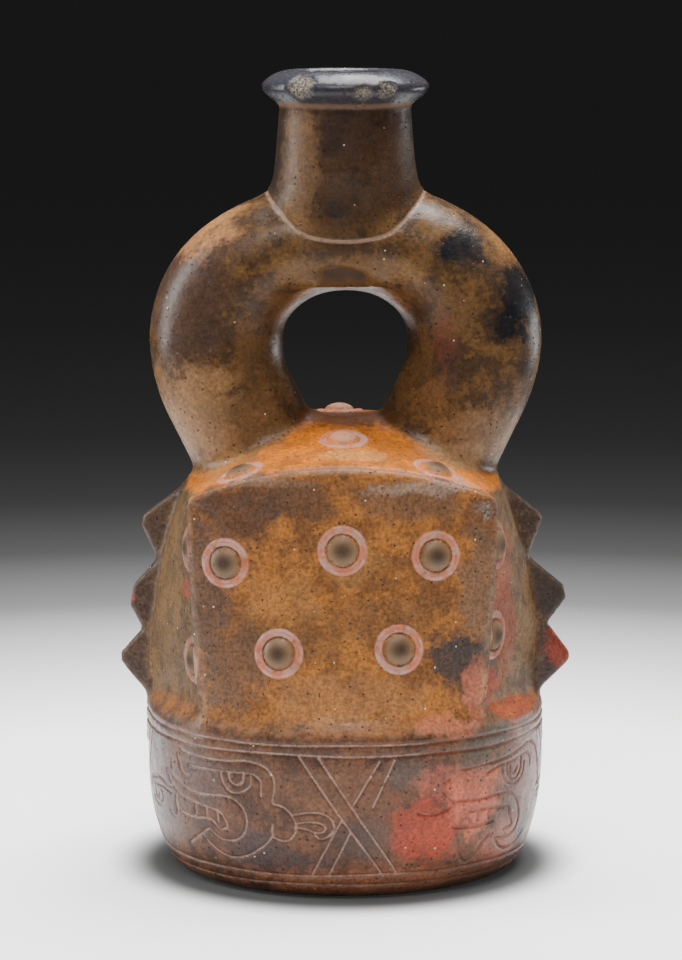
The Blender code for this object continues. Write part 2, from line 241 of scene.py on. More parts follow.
# %% Chamber
CHAMBER_SHIFT = -0.6
PANEL_WIDTH_FOOT = 93.6
PANEL_WIDTH_EAVE = 104.6
PANEL_DEPTH_FOOT = 66.8
PANEL_DEPTH_EAVE = 56.5
PANEL_FLARE_POWER = 1.7
CORNER_DEPTH_FOOT = 48.5
CORNER_DEPTH_EAVE = 45.6
SIDE_SEAM = ((0.0, 68.0), (0.15, 69.4), (0.33, 69.0), (0.52, 66.7), (0.70, 63.6), (0.90, 57.8), (1.0, 54.2))
WALL_BULGE = 1.2
CORNER_HEIGHT = 135.7
ARCH_RISE = 11.4
SEAM_HEIGHT = 136.7
RIDGE_HEIGHT = 158.6
RIDGE_SHARE = 0.20
EDGE_ROUND = 1.9
# Behind its front the panel's edge overhangs the side walls: how deep, from where, and how soon
EDGE_STEP = 3.4
STEP_START = 1.2
STEP_RUN = 3.6
STEP_END = 30.0
STEP_FADE = 26.0
# The panel is a little wider than the solid's, on its left and right
PANEL_EXTRA = (1.3, 0.3)
# A leaning face is nearer than the plain difference says
PANEL_LEAN = 0.94
WALL_LEAN = 0.93
EAVE_ROUND = 3.0


def panel_half_width(share):
    return between(PANEL_WIDTH_FOOT, PANEL_WIDTH_EAVE, np.clip(share, 0.0, 1.0) ** 0.8) / 2


def panel_depth(across, share):
    """The panel's distance from the middle plane; across is 0 in its middle and 1 at its edge."""
    share = np.clip(share, 0.0, 1.0)
    middle = between(PANEL_DEPTH_EAVE, PANEL_DEPTH_FOOT, (1.0 - share) ** PANEL_FLARE_POWER)
    corner = between(CORNER_DEPTH_EAVE, CORNER_DEPTH_FOOT, 1.0 - share)
    return between(middle, corner, across**2)


def eave_height(across, along):
    """Across runs over the panel, along from the panel's corner to the side seam."""
    arch = between(CORNER_HEIGHT + ARCH_RISE, CORNER_HEIGHT, np.clip(across, 0.0, 1.0) ** 2)
    return arch + (SEAM_HEIGHT - CORNER_HEIGHT) * along


def roof_height(a, b):
    """The roof over the point (a, b), measured from the chamber's middle."""
    half = PANEL_WIDTH_EAVE / 2
    middle, corner, seam = PANEL_DEPTH_EAVE, CORNER_DEPTH_EAVE, SIDE_SEAM[-1][1]
    bow = (middle - corner) / half**2
    to_panel = (b + np.sqrt(b * b + 4 * middle * bow * a * a)) / (2 * middle)
    to_wall = (a * corner + b * (seam - half)) / (half * corner + corner * (seam - half))
    outward = np.maximum(np.maximum(to_panel, to_wall), 1e-6)
    eave = eave_height(a / (outward * half), np.clip(1.0 - b / (outward * corner), 0.0, 1.0))
    return between(RIDGE_HEIGHT, eave, np.maximum(0.0, (outward - RIDGE_SHARE) / (1.0 - RIDGE_SHARE)))


def chamber_parts(x, y, z):
    """The panel's, the side walls' and the roof's own distances."""
    a, b = np.abs(x - CHAMBER_SHIFT), np.abs(y)
    eave = eave_height(a / (PANEL_WIDTH_EAVE / 2), 0.0)
    share = np.clip((z - RIM_HEIGHT) / (eave - RIM_HEIGHT), 0.0, 1.0)
    half = panel_half_width(share) + np.where(x < CHAMBER_SHIFT, *PANEL_EXTRA)
    panel = (b - panel_depth(a / half, share)) * PANEL_LEAN
    corner = panel_depth(1.0, share)
    seam = through(SIDE_SEAM, share)
    length = np.hypot(seam - half, corner)
    along = np.clip(1.0 - b / corner, 0.0, 1.0)
    wall = ((a - half) * corner + (b - corner) * (seam - half)) / length
    behind = np.clip((-STEP_START - panel) / STEP_RUN, 0.0, 1.0)
    behind = behind * np.clip((STEP_END + panel) / STEP_FADE, 0.0, 1.0)
    wall = (wall - WALL_BULGE * np.sin(math.pi * along) + EDGE_STEP * behind) * WALL_LEAN
    roof = (z - roof_height(a, b)) * WALL_LEAN
    return panel, wall, roof


def chamber_field(x, y, z):
    panel, wall, roof = chamber_parts(x, y, z)
    return trim(trim(panel, wall, EDGE_ROUND), roof, EAVE_ROUND)


print("roof over the middle and at a corner:", roof_height(np.array([0.0, 52.3]), np.array([0.0, 45.6])))

# %% [markdown]
# The teeth are flat clay plates with three points, pressed on along each side seam. They thin out
# towards their worn tips.

# %% Teeth
TOOTH_ROOT = 6.4
TOOTH_TIP = 2.8
TOOTH_ROUND = 1.6
TOOTH_BURIED = 4.0
# Root and tip heights as shares of the wall, upper and lower, and the reach past the wall
TEETH = {
    1: ((0.948, 0.836, 0.806, 0.612, 9.0), (0.63, 0.506, 0.446, 0.3, 10.4), (0.372, 0.2, 0.164, 0.03, 10.0)),
    -1: ((0.947, 0.824, 0.79, 0.604, 9.7), (0.62, 0.51, 0.415, 0.272, 7.0), (0.33, 0.2, 0.155, 0.01, 8.8)),
}


def tooth_outline(tooth, side):
    """The four corners of a tooth in the plane of the seam, as (x, height)."""
    root_top, tip_top, tip_bottom, root_bottom, reach = tooth
    corners = []
    ways = ((root_top, tip_top, (-TOOTH_BURIED, reach)), (root_bottom, tip_bottom, (reach, -TOOTH_BURIED)))
    for root, tip, ends in ways:
        for past in ends:
            share = root if past < 0 else tip
            beyond = (root - tip) / reach * TOOTH_BURIED * (past < 0)
            height = between(RIM_HEIGHT, SEAM_HEIGHT, share + beyond)
            corners.append((side * (through(SIDE_SEAM, share) + past) + CHAMBER_SHIFT, height))
    return corners


def outline_distance(u, v, corners):
    """Signed distance from points (u, v) to a closed outline, negative inside."""
    nearest = np.full(u.shape, 1e9)
    sign = np.ones(u.shape)
    for (u0, v0), (u1, v1) in zip(corners, corners[1:] + corners[:1]):
        du, dv = u1 - u0, v1 - v0
        t = np.clip(((u - u0) * du + (v - v0) * dv) / (du * du + dv * dv), 0.0, 1.0)
        nearest = np.minimum(nearest, (u - u0 - du * t) ** 2 + (v - v0 - dv * t) ** 2)
        if dv:
            crosses = ((v0 > v) != (v1 > v)) & (u < du * (v - v0) / dv + u0)
            sign[crosses] *= -1
    return sign * np.sqrt(nearest)


def teeth_field(x, y, z):
    field = np.full(x.shape, 99.0)
    seam = through(SIDE_SEAM, (z - RIM_HEIGHT) / (SEAM_HEIGHT - RIM_HEIGHT))
    past = np.clip((np.abs(x - CHAMBER_SHIFT) - seam) / 10.0, 0.0, 1.0)
    plate = np.abs(y) - between(TOOTH_ROOT, TOOTH_TIP, past) / 2
    for side, teeth in TEETH.items():
        for tooth in teeth:
            shape = outline_distance(x, z, tooth_outline(tooth, side))
            field = np.minimum(field, trim(shape, plate, TOOTH_ROUND))
    return field


print("first tooth:", [tuple(round(float(v), 1) for v in corner) for corner in tooth_outline(TEETH[1][0], 1)])

# %% [markdown]
# The stirrup follows a half ellipse whose legs bend inwards. Its section is an oval that is thickest
# at the sides. A point's distance is found from the nearest spot on the centre line.

# %% Stirrup
STIRRUP_HALF_WIDTH = 44.8
STIRRUP_SIDE_HEIGHT = 185.5
STIRRUP_RISE = 35.5
LEG_BEND = 45.9
LEG_LEAN = 25.6
LEG_END = 138.5
TUBE_TOP_RADIUS = 18.8
TUBE_SIDE_RADIUS = 23.3
TUBE_LEG_RADIUS = 21.9
TUBE_TOP_DEPTH = 24.6
TUBE_SIDE_DEPTH = 22.5


def stirrup_line():
    """Rows of (x, height, radius across, depth) from the top down one leg."""
    angle = np.radians(np.linspace(90.0, 0.0, 46))
    share = np.cos(angle) ** 2
    x, height = STIRRUP_HALF_WIDTH * np.cos(angle), STIRRUP_SIDE_HEIGHT + STIRRUP_RISE * np.sin(angle)
    across = between(TUBE_TOP_RADIUS, TUBE_SIDE_RADIUS, share)
    arch = np.stack([x, height, across, between(TUBE_TOP_DEPTH, TUBE_SIDE_DEPTH, share)], 1)
    bend = np.radians(np.linspace(0.0, LEG_LEAN, 14))[1:]
    x = STIRRUP_HALF_WIDTH - LEG_BEND * (1.0 - np.cos(bend))
    height = STIRRUP_SIDE_HEIGHT - LEG_BEND * np.sin(bend)
    drop = np.linspace(0.0, height[-1] - LEG_END, 8)[1:]
    x = np.concatenate([x, x[-1] - drop * math.tan(math.radians(LEG_LEAN))])
    height = np.concatenate([height, height[-1] - drop])
    across = np.linspace(TUBE_SIDE_RADIUS, TUBE_LEG_RADIUS, len(x) + 1)[1:]
    leg = np.stack([x, height, across, np.full(len(x), TUBE_SIDE_DEPTH)], 1)
    return np.concatenate([arch, leg])


STIRRUP_LINE = stirrup_line()


def stirrup_field(x, y, z):
    a = np.abs(x)
    best = np.full(a.shape, 1e9)
    across, depth = np.zeros((2, *a.shape))
    for start, end in zip(STIRRUP_LINE, STIRRUP_LINE[1:]):
        du, dv = end[0] - start[0], end[1] - start[1]
        t = np.clip(((a - start[0]) * du + (z - start[1]) * dv) / (du * du + dv * dv), 0.0, 1.0)
        gap = (a - start[0] - du * t) ** 2 + (z - start[1] - dv * t) ** 2
        nearer = gap < best
        best = np.where(nearer, gap, best)
        across = np.where(nearer, between(start[2], end[2], t), across)
        depth = np.where(nearer, between(start[3], end[3], t), depth)
    side = np.sqrt(best)
    oval = np.sqrt((side / across) ** 2 + (y / depth) ** 2)
    slope = np.sqrt((side / across**2) ** 2 + (y / depth**2) ** 2) + 1e-9
    return oval * (oval - 1.0) / slope


print("points along half the stirrup:", len(STIRRUP_LINE))

# %% [markdown]
# The spout is turned too. Its lip turns outwards, with a rounded top edge, and the bore cuts through.

# %% Spout
TOTAL_HEIGHT = 278.0
BORE_RADIUS = 17.7
SPOUT_BOTTOM = 205.0
# Heights and the outer radius there
SPOUT_OUTLINE = (
    (SPOUT_BOTTOM, 23.6), (221.0, 24.9), (228.0, 25.6), (236.0, 25.9), (240.0, 25.2), (247.0, 24.2),
    (256.0, 23.5), (262.0, 23.1), (266.0, 23.1), (267.6, 24.6), (269.6, 27.2), (271.6, 28.8), (273.2, 28.7),
    (275.0, 27.0), (276.6, 24.4), (277.8, 21.5), (280.0, 17.0),
)
MOUTH_ROUND = 2.4


def spout_field(x, y, z):
    radius = np.hypot(x, y)
    outline = through(SPOUT_OUTLINE, z)
    slope = (through(SPOUT_OUTLINE, z + 0.2) - through(SPOUT_OUTLINE, z - 0.2)) / 0.4
    body = (radius - outline) / np.sqrt(1.0 + slope**2)
    body = trim(body, z - TOTAL_HEIGHT, 1.0)
    return trim(body, SPOUT_BOTTOM - z, 2.0)


def bore_field(x, y, z):
    """Positive inside the spout's open bore, which is followed down to just under the neck."""
    return BORE_RADIUS - np.hypot(x, y)


print("lip radius:", float(through(SPOUT_OUTLINE, np.array([272.0]))[0]))

# %% [markdown]
# All of it is joined here. Each part is worked out only for the points near it, which saves time.
# Slow waves of a few tenths of a millimetre keep the surface from looking turned on a machine.

# %% The whole body as one field
FOOT_FILLET = 5.0
LEG_FILLET = 5.0
NECK_FILLET = 5.0
TOOTH_FILLET = 2.4
BORED_FROM = 236.0
BORED_WITHIN = 32.0
# The heights between which each part is worked out
ZONES = {
    "drum": (-math.inf, 82.0),
    "chamber": (44.0, 175.0),
    "teeth": (50.0, 145.0),
    "stirrup": (128.0, math.inf),
    "spout": (198.0, math.inf),
}


def within(z, part):
    low, high = ZONES[part]
    return (z > low) & (z < high)


def hand_waves(x, y, z):
    """Slow unevenness of hand-built clay, in millimetres."""
    wave = 0.16 * np.sin(x / 13.0 + 1.3 * np.sin(z / 31.0)) * np.sin(z / 17.0 + y / 29.0)
    wave += 0.12 * np.sin(y / 11.0 + z / 23.0 + 0.7) * np.sin(x / 19.0 - z / 14.0)
    return wave + 0.10 * np.sin(z / 7.3 + x / 27.0) * np.sin(y / 15.0 + 2.0)


def add_part(field, part, wanted, points, fillet):
    """Joins a part to the field for the points that are wanted."""
    if wanted.any():
        field[wanted] = join(field[wanted], part(*points[wanted].T), fillet)


def vessel_field(points):
    x, y, z = points.T
    field = np.full(len(points), 50.0)
    near_seams = (np.abs(x) > 48.0) & (np.abs(y) < 10.0)
    add_part(field, drum_field, within(z, "drum"), points, FOOT_FILLET)
    add_part(field, chamber_field, within(z, "chamber"), points, FOOT_FILLET)
    add_part(field, teeth_field, near_seams & within(z, "teeth"), points, TOOTH_FILLET)
    add_part(field, stirrup_field, within(z, "stirrup"), points, LEG_FILLET)
    add_part(field, spout_field, within(z, "spout"), points, NECK_FILLET)
    calm = np.clip(z / 6.0, 0.0, 1.0) * np.clip((TOTAL_HEIGHT - z) / 12.0, 0.0, 1.0)
    field -= hand_waves(x, y, z) * calm
    bored = (z > BORED_FROM) & (np.hypot(x, y) < BORED_WITHIN)
    field[bored] = trim(field[bored], bore_field(*points[bored].T), MOUTH_ROUND)
    return field


def slope_of(points, step=0.05):
    """The field and its gradient, from four nearby samples."""
    corners = np.array([(1, 1, 1), (1, -1, -1), (-1, 1, -1), (-1, -1, 1)]) * step
    samples = [vessel_field(points + corner) for corner in corners]
    gradient = sum(sample[:, None] * corner for sample, corner in zip(samples, corners)) / (4 * step * step)
    return sum(samples) / 4, gradient


def settle(points, rounds=2):
    """Moves points onto the surface, along the field's slope."""
    for _ in range(rounds):
        field, gradient = slope_of(points)
        step = field / np.maximum((gradient**2).sum(1), 0.2)
        points = points - gradient * np.clip(step, -3.0, 3.0)[:, None]
    return points


print("field at the middle and far off:", vessel_field(np.array([[0.0, 0.0, 100.0], [200.0, 0.0, 100.0]])))

# %% [markdown]
# ## What the potter drew
# The drum carries a band between two pairs of ring lines. A crossed band stands in the middle of each
# quarter, and a beast's head in profile fills the space between, its tongue reaching for the next
# cross. The lines are drawn here as on a flat sheet and then laid round the drum.

# %% Sheets that are laid round the drum
SHEET_TOP = 59.1
VIEW_SLANT = 0.23
HEAD_SCALE = (20.83, 21.87)
CROSS_SCALE = (25.0, 26.25)

LEFT_HEAD = (
    ((540, 250), (720, 260), (900, 262), (1130, 250), (1200, 280), (1245, 350), (1250, 450),
     (1240, 545), (1300, 565), (1350, 620), (1378, 700), (1370, 780), (1320, 835), (1235, 800),
     (1230, 760), (1238, 705)),
    ((1235, 800), (1190, 870), (1130, 930), (1030, 1000), (930, 1025), (830, 995), (740, 920),
     (705, 870)),
    ((705, 870), (770, 820), (820, 860), (880, 885), (980, 870), (1040, 810), (1065, 700), (1040, 610),
     (980, 550), (920, 535), (800, 545), (610, 545), (500, 505), (380, 430)),
    ((360, 440), (430, 540), (530, 600), (700, 635), (800, 650), (870, 670), (905, 720), (920, 775),
     (860, 810)),
    ((500, 740), (570, 748), (650, 755), (740, 740), (810, 750), (850, 800)),
    ((667, 640), (662, 715)),
    ((760, 650), (758, 735)),
    ((850, 665), (852, 750)),
    ((620, 352), (800, 350), (1000, 340), (1120, 335)),
    ((885, 370), (900, 430), (950, 490), (1050, 475), (1095, 420), (1100, 360)),
    ((945, 350), (950, 400), (1000, 435), (1045, 400), (1050, 355)),
    ((1120, 340), (1160, 380), (1168, 430), (1165, 500)),
    ((705, 870), (640, 920), (560, 980)),
    ((30, 640), (70, 580), (150, 548), (230, 528), (300, 532), (350, 562), (420, 560)),
    ((120, 605), (200, 595), (290, 590), (410, 612)),
    ((90, 720), (140, 755), (200, 765), (255, 735), (285, 690), (270, 630)),
    ((140, 640), (150, 690), (190, 710), (215, 680)),
    ((470, 345), (432, 360), (425, 420)),
    ((505, 290), (520, 370), (560, 425), (605, 432)),
    ((370, 765), (395, 790), (440, 790), (465, 740), (455, 680), (465, 620)),
)
RIGHT_HEAD = (
    ((560, 322), (700, 318), (800, 310), (960, 298), (1120, 268), (1240, 245), (1340, 300), (1390, 400),
     (1425, 520), (1462, 630), (1500, 645)),
    ((770, 385), (860, 355), (990, 345), (1110, 330), (1210, 330), (1245, 370), (1250, 430)),
    ((905, 380), (915, 440), (960, 500), (1040, 525), (1110, 500), (1150, 450), (1160, 380)),
    ((950, 370), (960, 430), (1010, 485), (1070, 475), (1110, 420), (1115, 350)),
    ((985, 380), (1000, 430), (1040, 440), (1065, 400)),
    ((540, 560), (700, 572), (860, 570), (980, 585), (1060, 640), (1110, 720), (1135, 820), (1120, 890),
     (1050, 940), (960, 945), (880, 930)),
    ((620, 655), (760, 660), (900, 680), (990, 700), (1010, 770), (1050, 850), (960, 870)),
    ((510, 760), (600, 775), (690, 785), (840, 772)),
    ((590, 640), (625, 710), (660, 780)),
    ((700, 665), (702, 735)),
    ((790, 672), (793, 745)),
    ((540, 830), (555, 900), (570, 960), (610, 1050), (660, 1085), (720, 1030), (770, 930), (820, 880)),
    ((880, 930), (940, 1010), (1040, 1060), (1160, 1040), (1260, 960)),
    ((480, 385), (450, 410), (440, 460), (480, 520), (510, 560)),
    ((280, 620), (360, 640), (440, 625), (490, 600)),
)
TONGUE = (
    ((390, 750), (500, 722), (600, 730), (660, 780), (680, 860), (650, 930), (570, 965), (545, 940)),
    ((410, 830), (500, 812), (580, 820), (620, 860), (605, 900), (560, 910), (480, 880), (400, 868)),
)
CROSS = (
    ((435, 215), (745, 800), (1050, 1360)),
    ((570, 215), (870, 800), (1160, 1350)),
    ((1000, 250), (905, 455), (815, 650)),
    ((1105, 250), (1030, 460), (950, 680)),
    ((730, 800), (620, 1070), (515, 1330)),
    ((795, 910), (720, 1120), (640, 1330)),
)
SHEETS = (
    (LEFT_HEAD, HEAD_SCALE, -80.4, (0, 180)),
    (TONGUE, CROSS_SCALE, -30.4, (0, 90, 180, 270)),
    (RIGHT_HEAD, HEAD_SCALE, 7.6, (0, 180)),
    (CROSS, CROSS_SCALE, -30.4, (0, 90, 180, 270)),
)
print("drawn strokes:", sum(len(strokes) * len(turns) for strokes, _, _, turns in SHEETS))

# %% [markdown]
# A stroke is a few points that the hand joined in one sweep, so a smooth curve goes through them. Its
# points are about half a millimetre apart, close enough to carve a line from.


# %% Smooth strokes on the surface
STROKE_STEP = 0.5


def sweep(points, step=STROKE_STEP):
    """A smooth curve through the points, sampled evenly."""
    points = np.array(points, float)
    lengths = np.concatenate([[0.0], np.cumsum(np.linalg.norm(np.diff(points, axis=0), axis=1))])
    count = max(3, int(lengths[-1] / step) + 1)
    places = np.linspace(0.0, lengths[-1], count)
    return np.stack([through(list(zip(lengths, column)), places) for column in points.T], 1)


def on_drum(degrees, height):
    """A point of the drum's wall, counted from the front round to the right."""
    angle = np.radians(degrees)
    radius = drum_radius(height)
    return np.stack([radius * np.sin(angle), -radius * np.cos(angle), height], -1)


def laid_round(stroke, scale, left_edge):
    """A stroke of a sheet as (degrees times radius, height), in millimetres."""
    stroke = np.array(stroke, float)
    height = SHEET_TOP - stroke[:, 1] / scale[1]
    height += (DRUM_RADIUS - drum_radius(height)) * VIEW_SLANT
    return np.stack([np.radians(stroke[:, 0] / scale[0] + left_edge) * DRUM_RADIUS, height], 1)


incised = []
for strokes, scale, left_edge, turns in SHEETS:
    for stroke in strokes:
        line = sweep(laid_round(stroke, scale, left_edge))
        for turn in turns:
            incised.append(on_drum(np.degrees(line[:, 0] / DRUM_RADIUS) + turn, line[:, 1]))

RING_LINES = ((54.6, 0.35, 0.9), (51.1, 0.30, 2.1), (8.9, 0.30, 0.3), (5.2, 0.25, 1.7))
around = np.linspace(-180.0, 180.0, 900)
for height, waver, start in RING_LINES:
    wave = waver * (np.sin(np.radians(around * 3) + start) + 0.5 * np.sin(np.radians(around * 8) + 2 * start))
    incised.append(on_drum(around, height + wave))
drawn = sum(len(line) for line in incised) * STROKE_STEP
print("incised lines:", len(incised), "total length mm:", round(drawn))

# %% [markdown]
# Some lines are seams, not drawing: round the foot of the neck, along the roof's edge over each panel
# and where each row of teeth meets the wall.

# %% Seams
NECK_SEAM_RADIUS = 26.4
NECK_SEAM_LOW = 220.6
NECK_SEAM_RISE = 15.0


def panel_spot(across, share):
    """A point of the front panel, across from -1 to 1 and share up from foot to eave."""
    height = between(RIM_HEIGHT, eave_height(np.abs(across), 0.0), share)
    x = panel_half_width(share) * across + CHAMBER_SHIFT
    return np.stack([x, -panel_depth(np.abs(across), share), height], -1)


seams = []
turn = np.radians(np.linspace(0.0, 360.0, 320))
seam_height = NECK_SEAM_LOW + NECK_SEAM_RISE * (0.48 * np.cos(turn) ** 2 + 0.52 * np.cos(turn) ** 6)
seams.append(np.stack([NECK_SEAM_RADIUS * np.cos(turn), NECK_SEAM_RADIUS * np.sin(turn), seam_height], 1))
across = np.linspace(-0.98, 0.98, 210)
tops = panel_spot(across, np.ones_like(across)) + (0.0, 1.2, 0.9)
shares = np.linspace(0.02, 0.93, 160)
for back in (1, -1):
    seams.append(tops * (1, back, 1))
    for side in (1, -1):
        x = side * (through(SIDE_SEAM, shares) - 1.5) + CHAMBER_SHIFT
        height = between(RIM_HEIGHT, SEAM_HEIGHT, shares)
        incised.append(np.stack([x, np.full_like(x, -4.6 * back), height], 1))
incised = [settle(line) for line in incised]
seams = [settle(line) for line in seams]
print("seams:", len(seams))

# %% [markdown]
# ## Buttons
# Round buttons stand on the panels, the side walls and the roof. Each is a dome inside a flat ring
# that was rubbed with pink pigment. Only their middles are listed; the carving below does the rest.

# %% Button middles
PANEL_BUTTONS = ((-0.785, 0.683), (-0.008, 0.688), (0.611, 0.695), (-0.446, 0.303), (0.382, 0.318))
ROOF_BUTTONS = ((-0.80, 0.84), (0.0, 0.53), (0.72, 0.84))
WALL_BUTTONS = {1: ((0.25, 0.77), (0.19, 0.37)), -1: ((0.19, 0.76), (0.16, 0.26))}
# The back's middle roof button, which shows above the ridge from the front
RIDGE_BUTTON = (-2.1, 12.0, 158.0)


def button_middles():
    spots = []
    for across, share in PANEL_BUTTONS:
        spots.append(panel_spot(across, share))
    for across, outward in ROOF_BUTTONS:
        x, y, _ = panel_spot(across, 1.0) - (CHAMBER_SHIFT, 0.0, 0.0)
        height = roof_height(abs(x) * outward, abs(y) * outward)
        spots.append(np.array([x * outward + CHAMBER_SHIFT, y * outward, float(height)]))
    for side, rows in WALL_BUTTONS.items():
        for along, share in rows:
            corner = panel_spot(1.0, share) - (CHAMBER_SHIFT, 0.0, 0.0)
            seam = np.array([float(through(SIDE_SEAM, share)), 0.0, corner[2]])
            spots.append(between(corner, seam, along) * (side, 1, 1) + (CHAMBER_SHIFT, 0.0, 0.0))
    front = np.array(spots)
    back = front * (-1, -1, 1) + (2 * CHAMBER_SHIFT, 0.0, 0.0)
    back[len(PANEL_BUTTONS) + 1] = RIDGE_BUTTON
    return np.concatenate([front, back])


buttons = settle(button_middles(), 4)
print("buttons:", len(buttons))

# %% [markdown]
# ## The net of triangles
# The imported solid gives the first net, inside and out. Voxel remeshing evens its triangles out, and
# the outer ones then settle onto the field. The inner walls keep the solid's own shape.

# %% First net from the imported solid
NET_VOXEL = 0.0023
NET_SHARE = 0.36
INNER_DEPTH = -2.8


def first_net():
    """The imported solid's shape as even triangles: points in millimetres and faces."""
    shape = bmesh.new()
    shape.from_mesh(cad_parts["vessel"].data)
    bmesh.ops.remove_doubles(shape, verts=shape.verts, dist=0.00001)
    mesh = bpy.data.meshes.new("net")
    shape.to_mesh(mesh)
    shape.free()
    net = placed("net", mesh)
    remesh = net.modifiers.new("even", "REMESH")
    remesh.mode = "VOXEL"
    remesh.voxel_size = NET_VOXEL
    fewer = net.modifiers.new("fewer", "DECIMATE")
    fewer.ratio = NET_SHARE
    even = bpy.data.meshes.new_from_object(net.evaluated_get(bpy.context.evaluated_depsgraph_get()))
    even.calc_loop_triangles()
    points = np.empty(len(even.vertices) * 3)
    even.vertices.foreach_get("co", points)
    faces = np.empty(len(even.loop_triangles) * 3, int)
    even.loop_triangles.foreach_get("vertices", faces)
    bpy.data.objects.remove(net)
    bpy.data.meshes.remove(mesh)
    bpy.data.meshes.remove(even)
    return points.reshape(-1, 3) / MM, faces.reshape(-1, 3)


points, faces = first_net()
outer = vessel_field(points) > INNER_DEPTH
points[outer] = settle(points[outer])
print("first net:", len(faces), "triangles,", int(outer.sum()), "of", len(points), "points outside")

# %% [markdown]
# A carved line less than a millimetre wide needs triangles of about half that, and a plain wall needs
# none so small. So each edge that is longer than is wanted at its place is split in two, and the
# longest edge of each triangle goes first, which keeps the triangles from turning into slivers.


# %% Finer triangles where there is detail
def finder(lines):
    tree = kdtree.KDTree(sum(len(line) for line in lines))
    for number, point in enumerate(np.concatenate(lines)):
        tree.insert(point, number)
    tree.balance()
    return lambda places: np.array([tree.find(place)[2] for place in places])


to_line = finder(incised)
to_seam = finder(seams)
to_button = finder([buttons])
COARSE = 3.6
LIP_FROM = 264.0
LIP_EDGE = 1.8
TOOTH_EDGE = 1.7
CORNER_EDGE = 1.4
# Near a guide: the shortest edge, how far from the guide it holds, and how fast edges grow past that
LINE_EDGES = (0.62, 0.7, 1.10)
SEAM_EDGES = (0.84, 0.9, 1.00)
BUTTON_EDGES = (0.86, 9.0, 0.90)


def wanted_length(places):
    """How long an edge may be at each place."""
    x, y, z = places.T
    length = np.full(len(places), COARSE)
    panel, wall, roof = chamber_parts(x, y, z)
    corner = (np.abs(panel) + np.abs(wall) < 3.0) | (np.abs(panel) + np.abs(roof) < 3.0)
    toothed = (np.abs(x) > 56.0) & (np.abs(y) < 5.0) & (z > 57.0)
    cornered = corner & (z > 60.0) & (z < 150.0)
    for there, edge in ((z > LIP_FROM, LIP_EDGE), (toothed, TOOTH_EDGE), (cornered, CORNER_EDGE)):
        length[there] = np.minimum(length[there], edge)
    rules = (
        (z < 60.0, to_line, LINE_EDGES),
        (z >= 60.0, to_seam, SEAM_EDGES),
        (z > 62.0, to_button, BUTTON_EDGES),
    )
    for there, distance, (shortest, reach, growth) in rules:
        near = shortest + growth * np.maximum(distance(places[there]) - reach, 0.0)
        length[there] = np.minimum(length[there], near)
    return length


def split_edges(points, faces, outer):
    """Splits every outer edge that is too long. Returns the new points, faces and outer mask."""
    pairs = np.sort(np.concatenate([faces[:, [0, 1]], faces[:, [1, 2]], faces[:, [2, 0]]]), axis=1)
    edges, which = np.unique(pairs, axis=0, return_inverse=True)
    which = which.reshape(3, -1).T
    ends = points[edges]
    length = np.linalg.norm(ends[:, 0] - ends[:, 1], axis=1)
    able = outer[edges].all(1)
    split = np.zeros(len(edges), bool)
    split[able] = length[able] > 1.35 * wanted_length(ends[able].mean(1))
    longest = which[np.arange(len(faces)), length[which].argmax(1)]
    while True:
        touched = longest[split[which].any(1)]
        more = touched[~split[touched]]
        if not len(more):
            break
        split[more] = True
    split &= able
    middle = np.full(len(edges), -1)
    middle[split] = len(points) + np.arange(split.sum())
    added = settle(ends[split].mean(1), 1)
    mids = middle[which]
    count = (mids >= 0).sum(1)
    result = [faces[count == 0]]
    corner, mids_left = faces[count > 0], mids[count > 0]
    lengths = length[which[count > 0]]
    lead = np.where(mids_left >= 0, lengths, -1.0).argmax(1)
    rows = np.arange(len(corner))[:, None]
    order = (lead[:, None] + np.arange(3)) % 3
    corner, mids_left = corner[rows, order], mids_left[rows, order]
    a, b, c = corner.T
    ab, bc, ca = mids_left.T
    for far, uncut, cut in (
        (ca, (a, ab, c), ((a, ab, ca), (ab, c, ca))),
        (bc, (ab, b, c), ((ab, b, bc), (ab, bc, c))),
    ):
        result.append(np.stack(uncut, 1)[far < 0])
        result += [np.stack(triangle, 1)[far >= 0] for triangle in cut]
    points = np.concatenate([points, added])
    return points, np.concatenate(result), np.concatenate([outer, np.ones(len(added), bool)])


def relax(points, faces, outer, rounds=1, share=0.5):
    """Evens the triangles out by moving outer points towards their neighbours, then settles them."""
    pairs = np.concatenate([faces[:, [0, 1]], faces[:, [1, 2]], faces[:, [2, 0]]])
    for _ in range(rounds):
        total = np.stack([np.bincount(pairs[:, 0], points[pairs[:, 1], k], len(points)) for k in range(3)], 1)
        number = np.maximum(np.bincount(pairs[:, 0], minlength=len(points)), 1)[:, None]
        moved = between(points, total / number, share)
        points = points.copy()
        points[outer] = settle(moved[outer], 1)
    return points


points = relax(points, faces, outer, 2)
for step in range(7):
    before = len(faces)
    points, faces, outer = split_edges(points, faces, outer)
    print("split", step + 1, ":", len(faces), "triangles")
    if len(faces) < 1.01 * before:
        break
points = relax(points, faces, outer, 2, 0.4)
points[outer] = settle(points[outer], 1)
print("finer net:", len(faces), "triangles")

# %% [markdown]
# The lip and one corner of the panel are chipped. Each chip is a shallow hollow with a ragged edge,
# pushed straight into the net. Its depth is also kept, because broken clay is paler than the skin.

# %% Chips
# Middle, radius and depth
CHIPS = (
    ((-16.0, -24.2, 274.2), 5.4, 1.5),
    ((6.0, -28.0, 270.6), 3.2, 0.9),
    ((15.0, -25.0, 271.8), 3.9, 1.1),
    ((47.6, -47.5, 131.6), 3.0, 0.7),
    ((-21.0, 20.0, 273.4), 4.2, 1.0),
)


def ragged(places):
    """An uneven value from -1 to 1 that changes within a millimetre or two."""
    x, y, z = places.T
    return np.sin(x * 2.1 + 1.7 * np.sin(z * 1.9)) * np.sin(y * 2.4 + z * 1.3 + 1.1 * np.sin(x * 2.9))


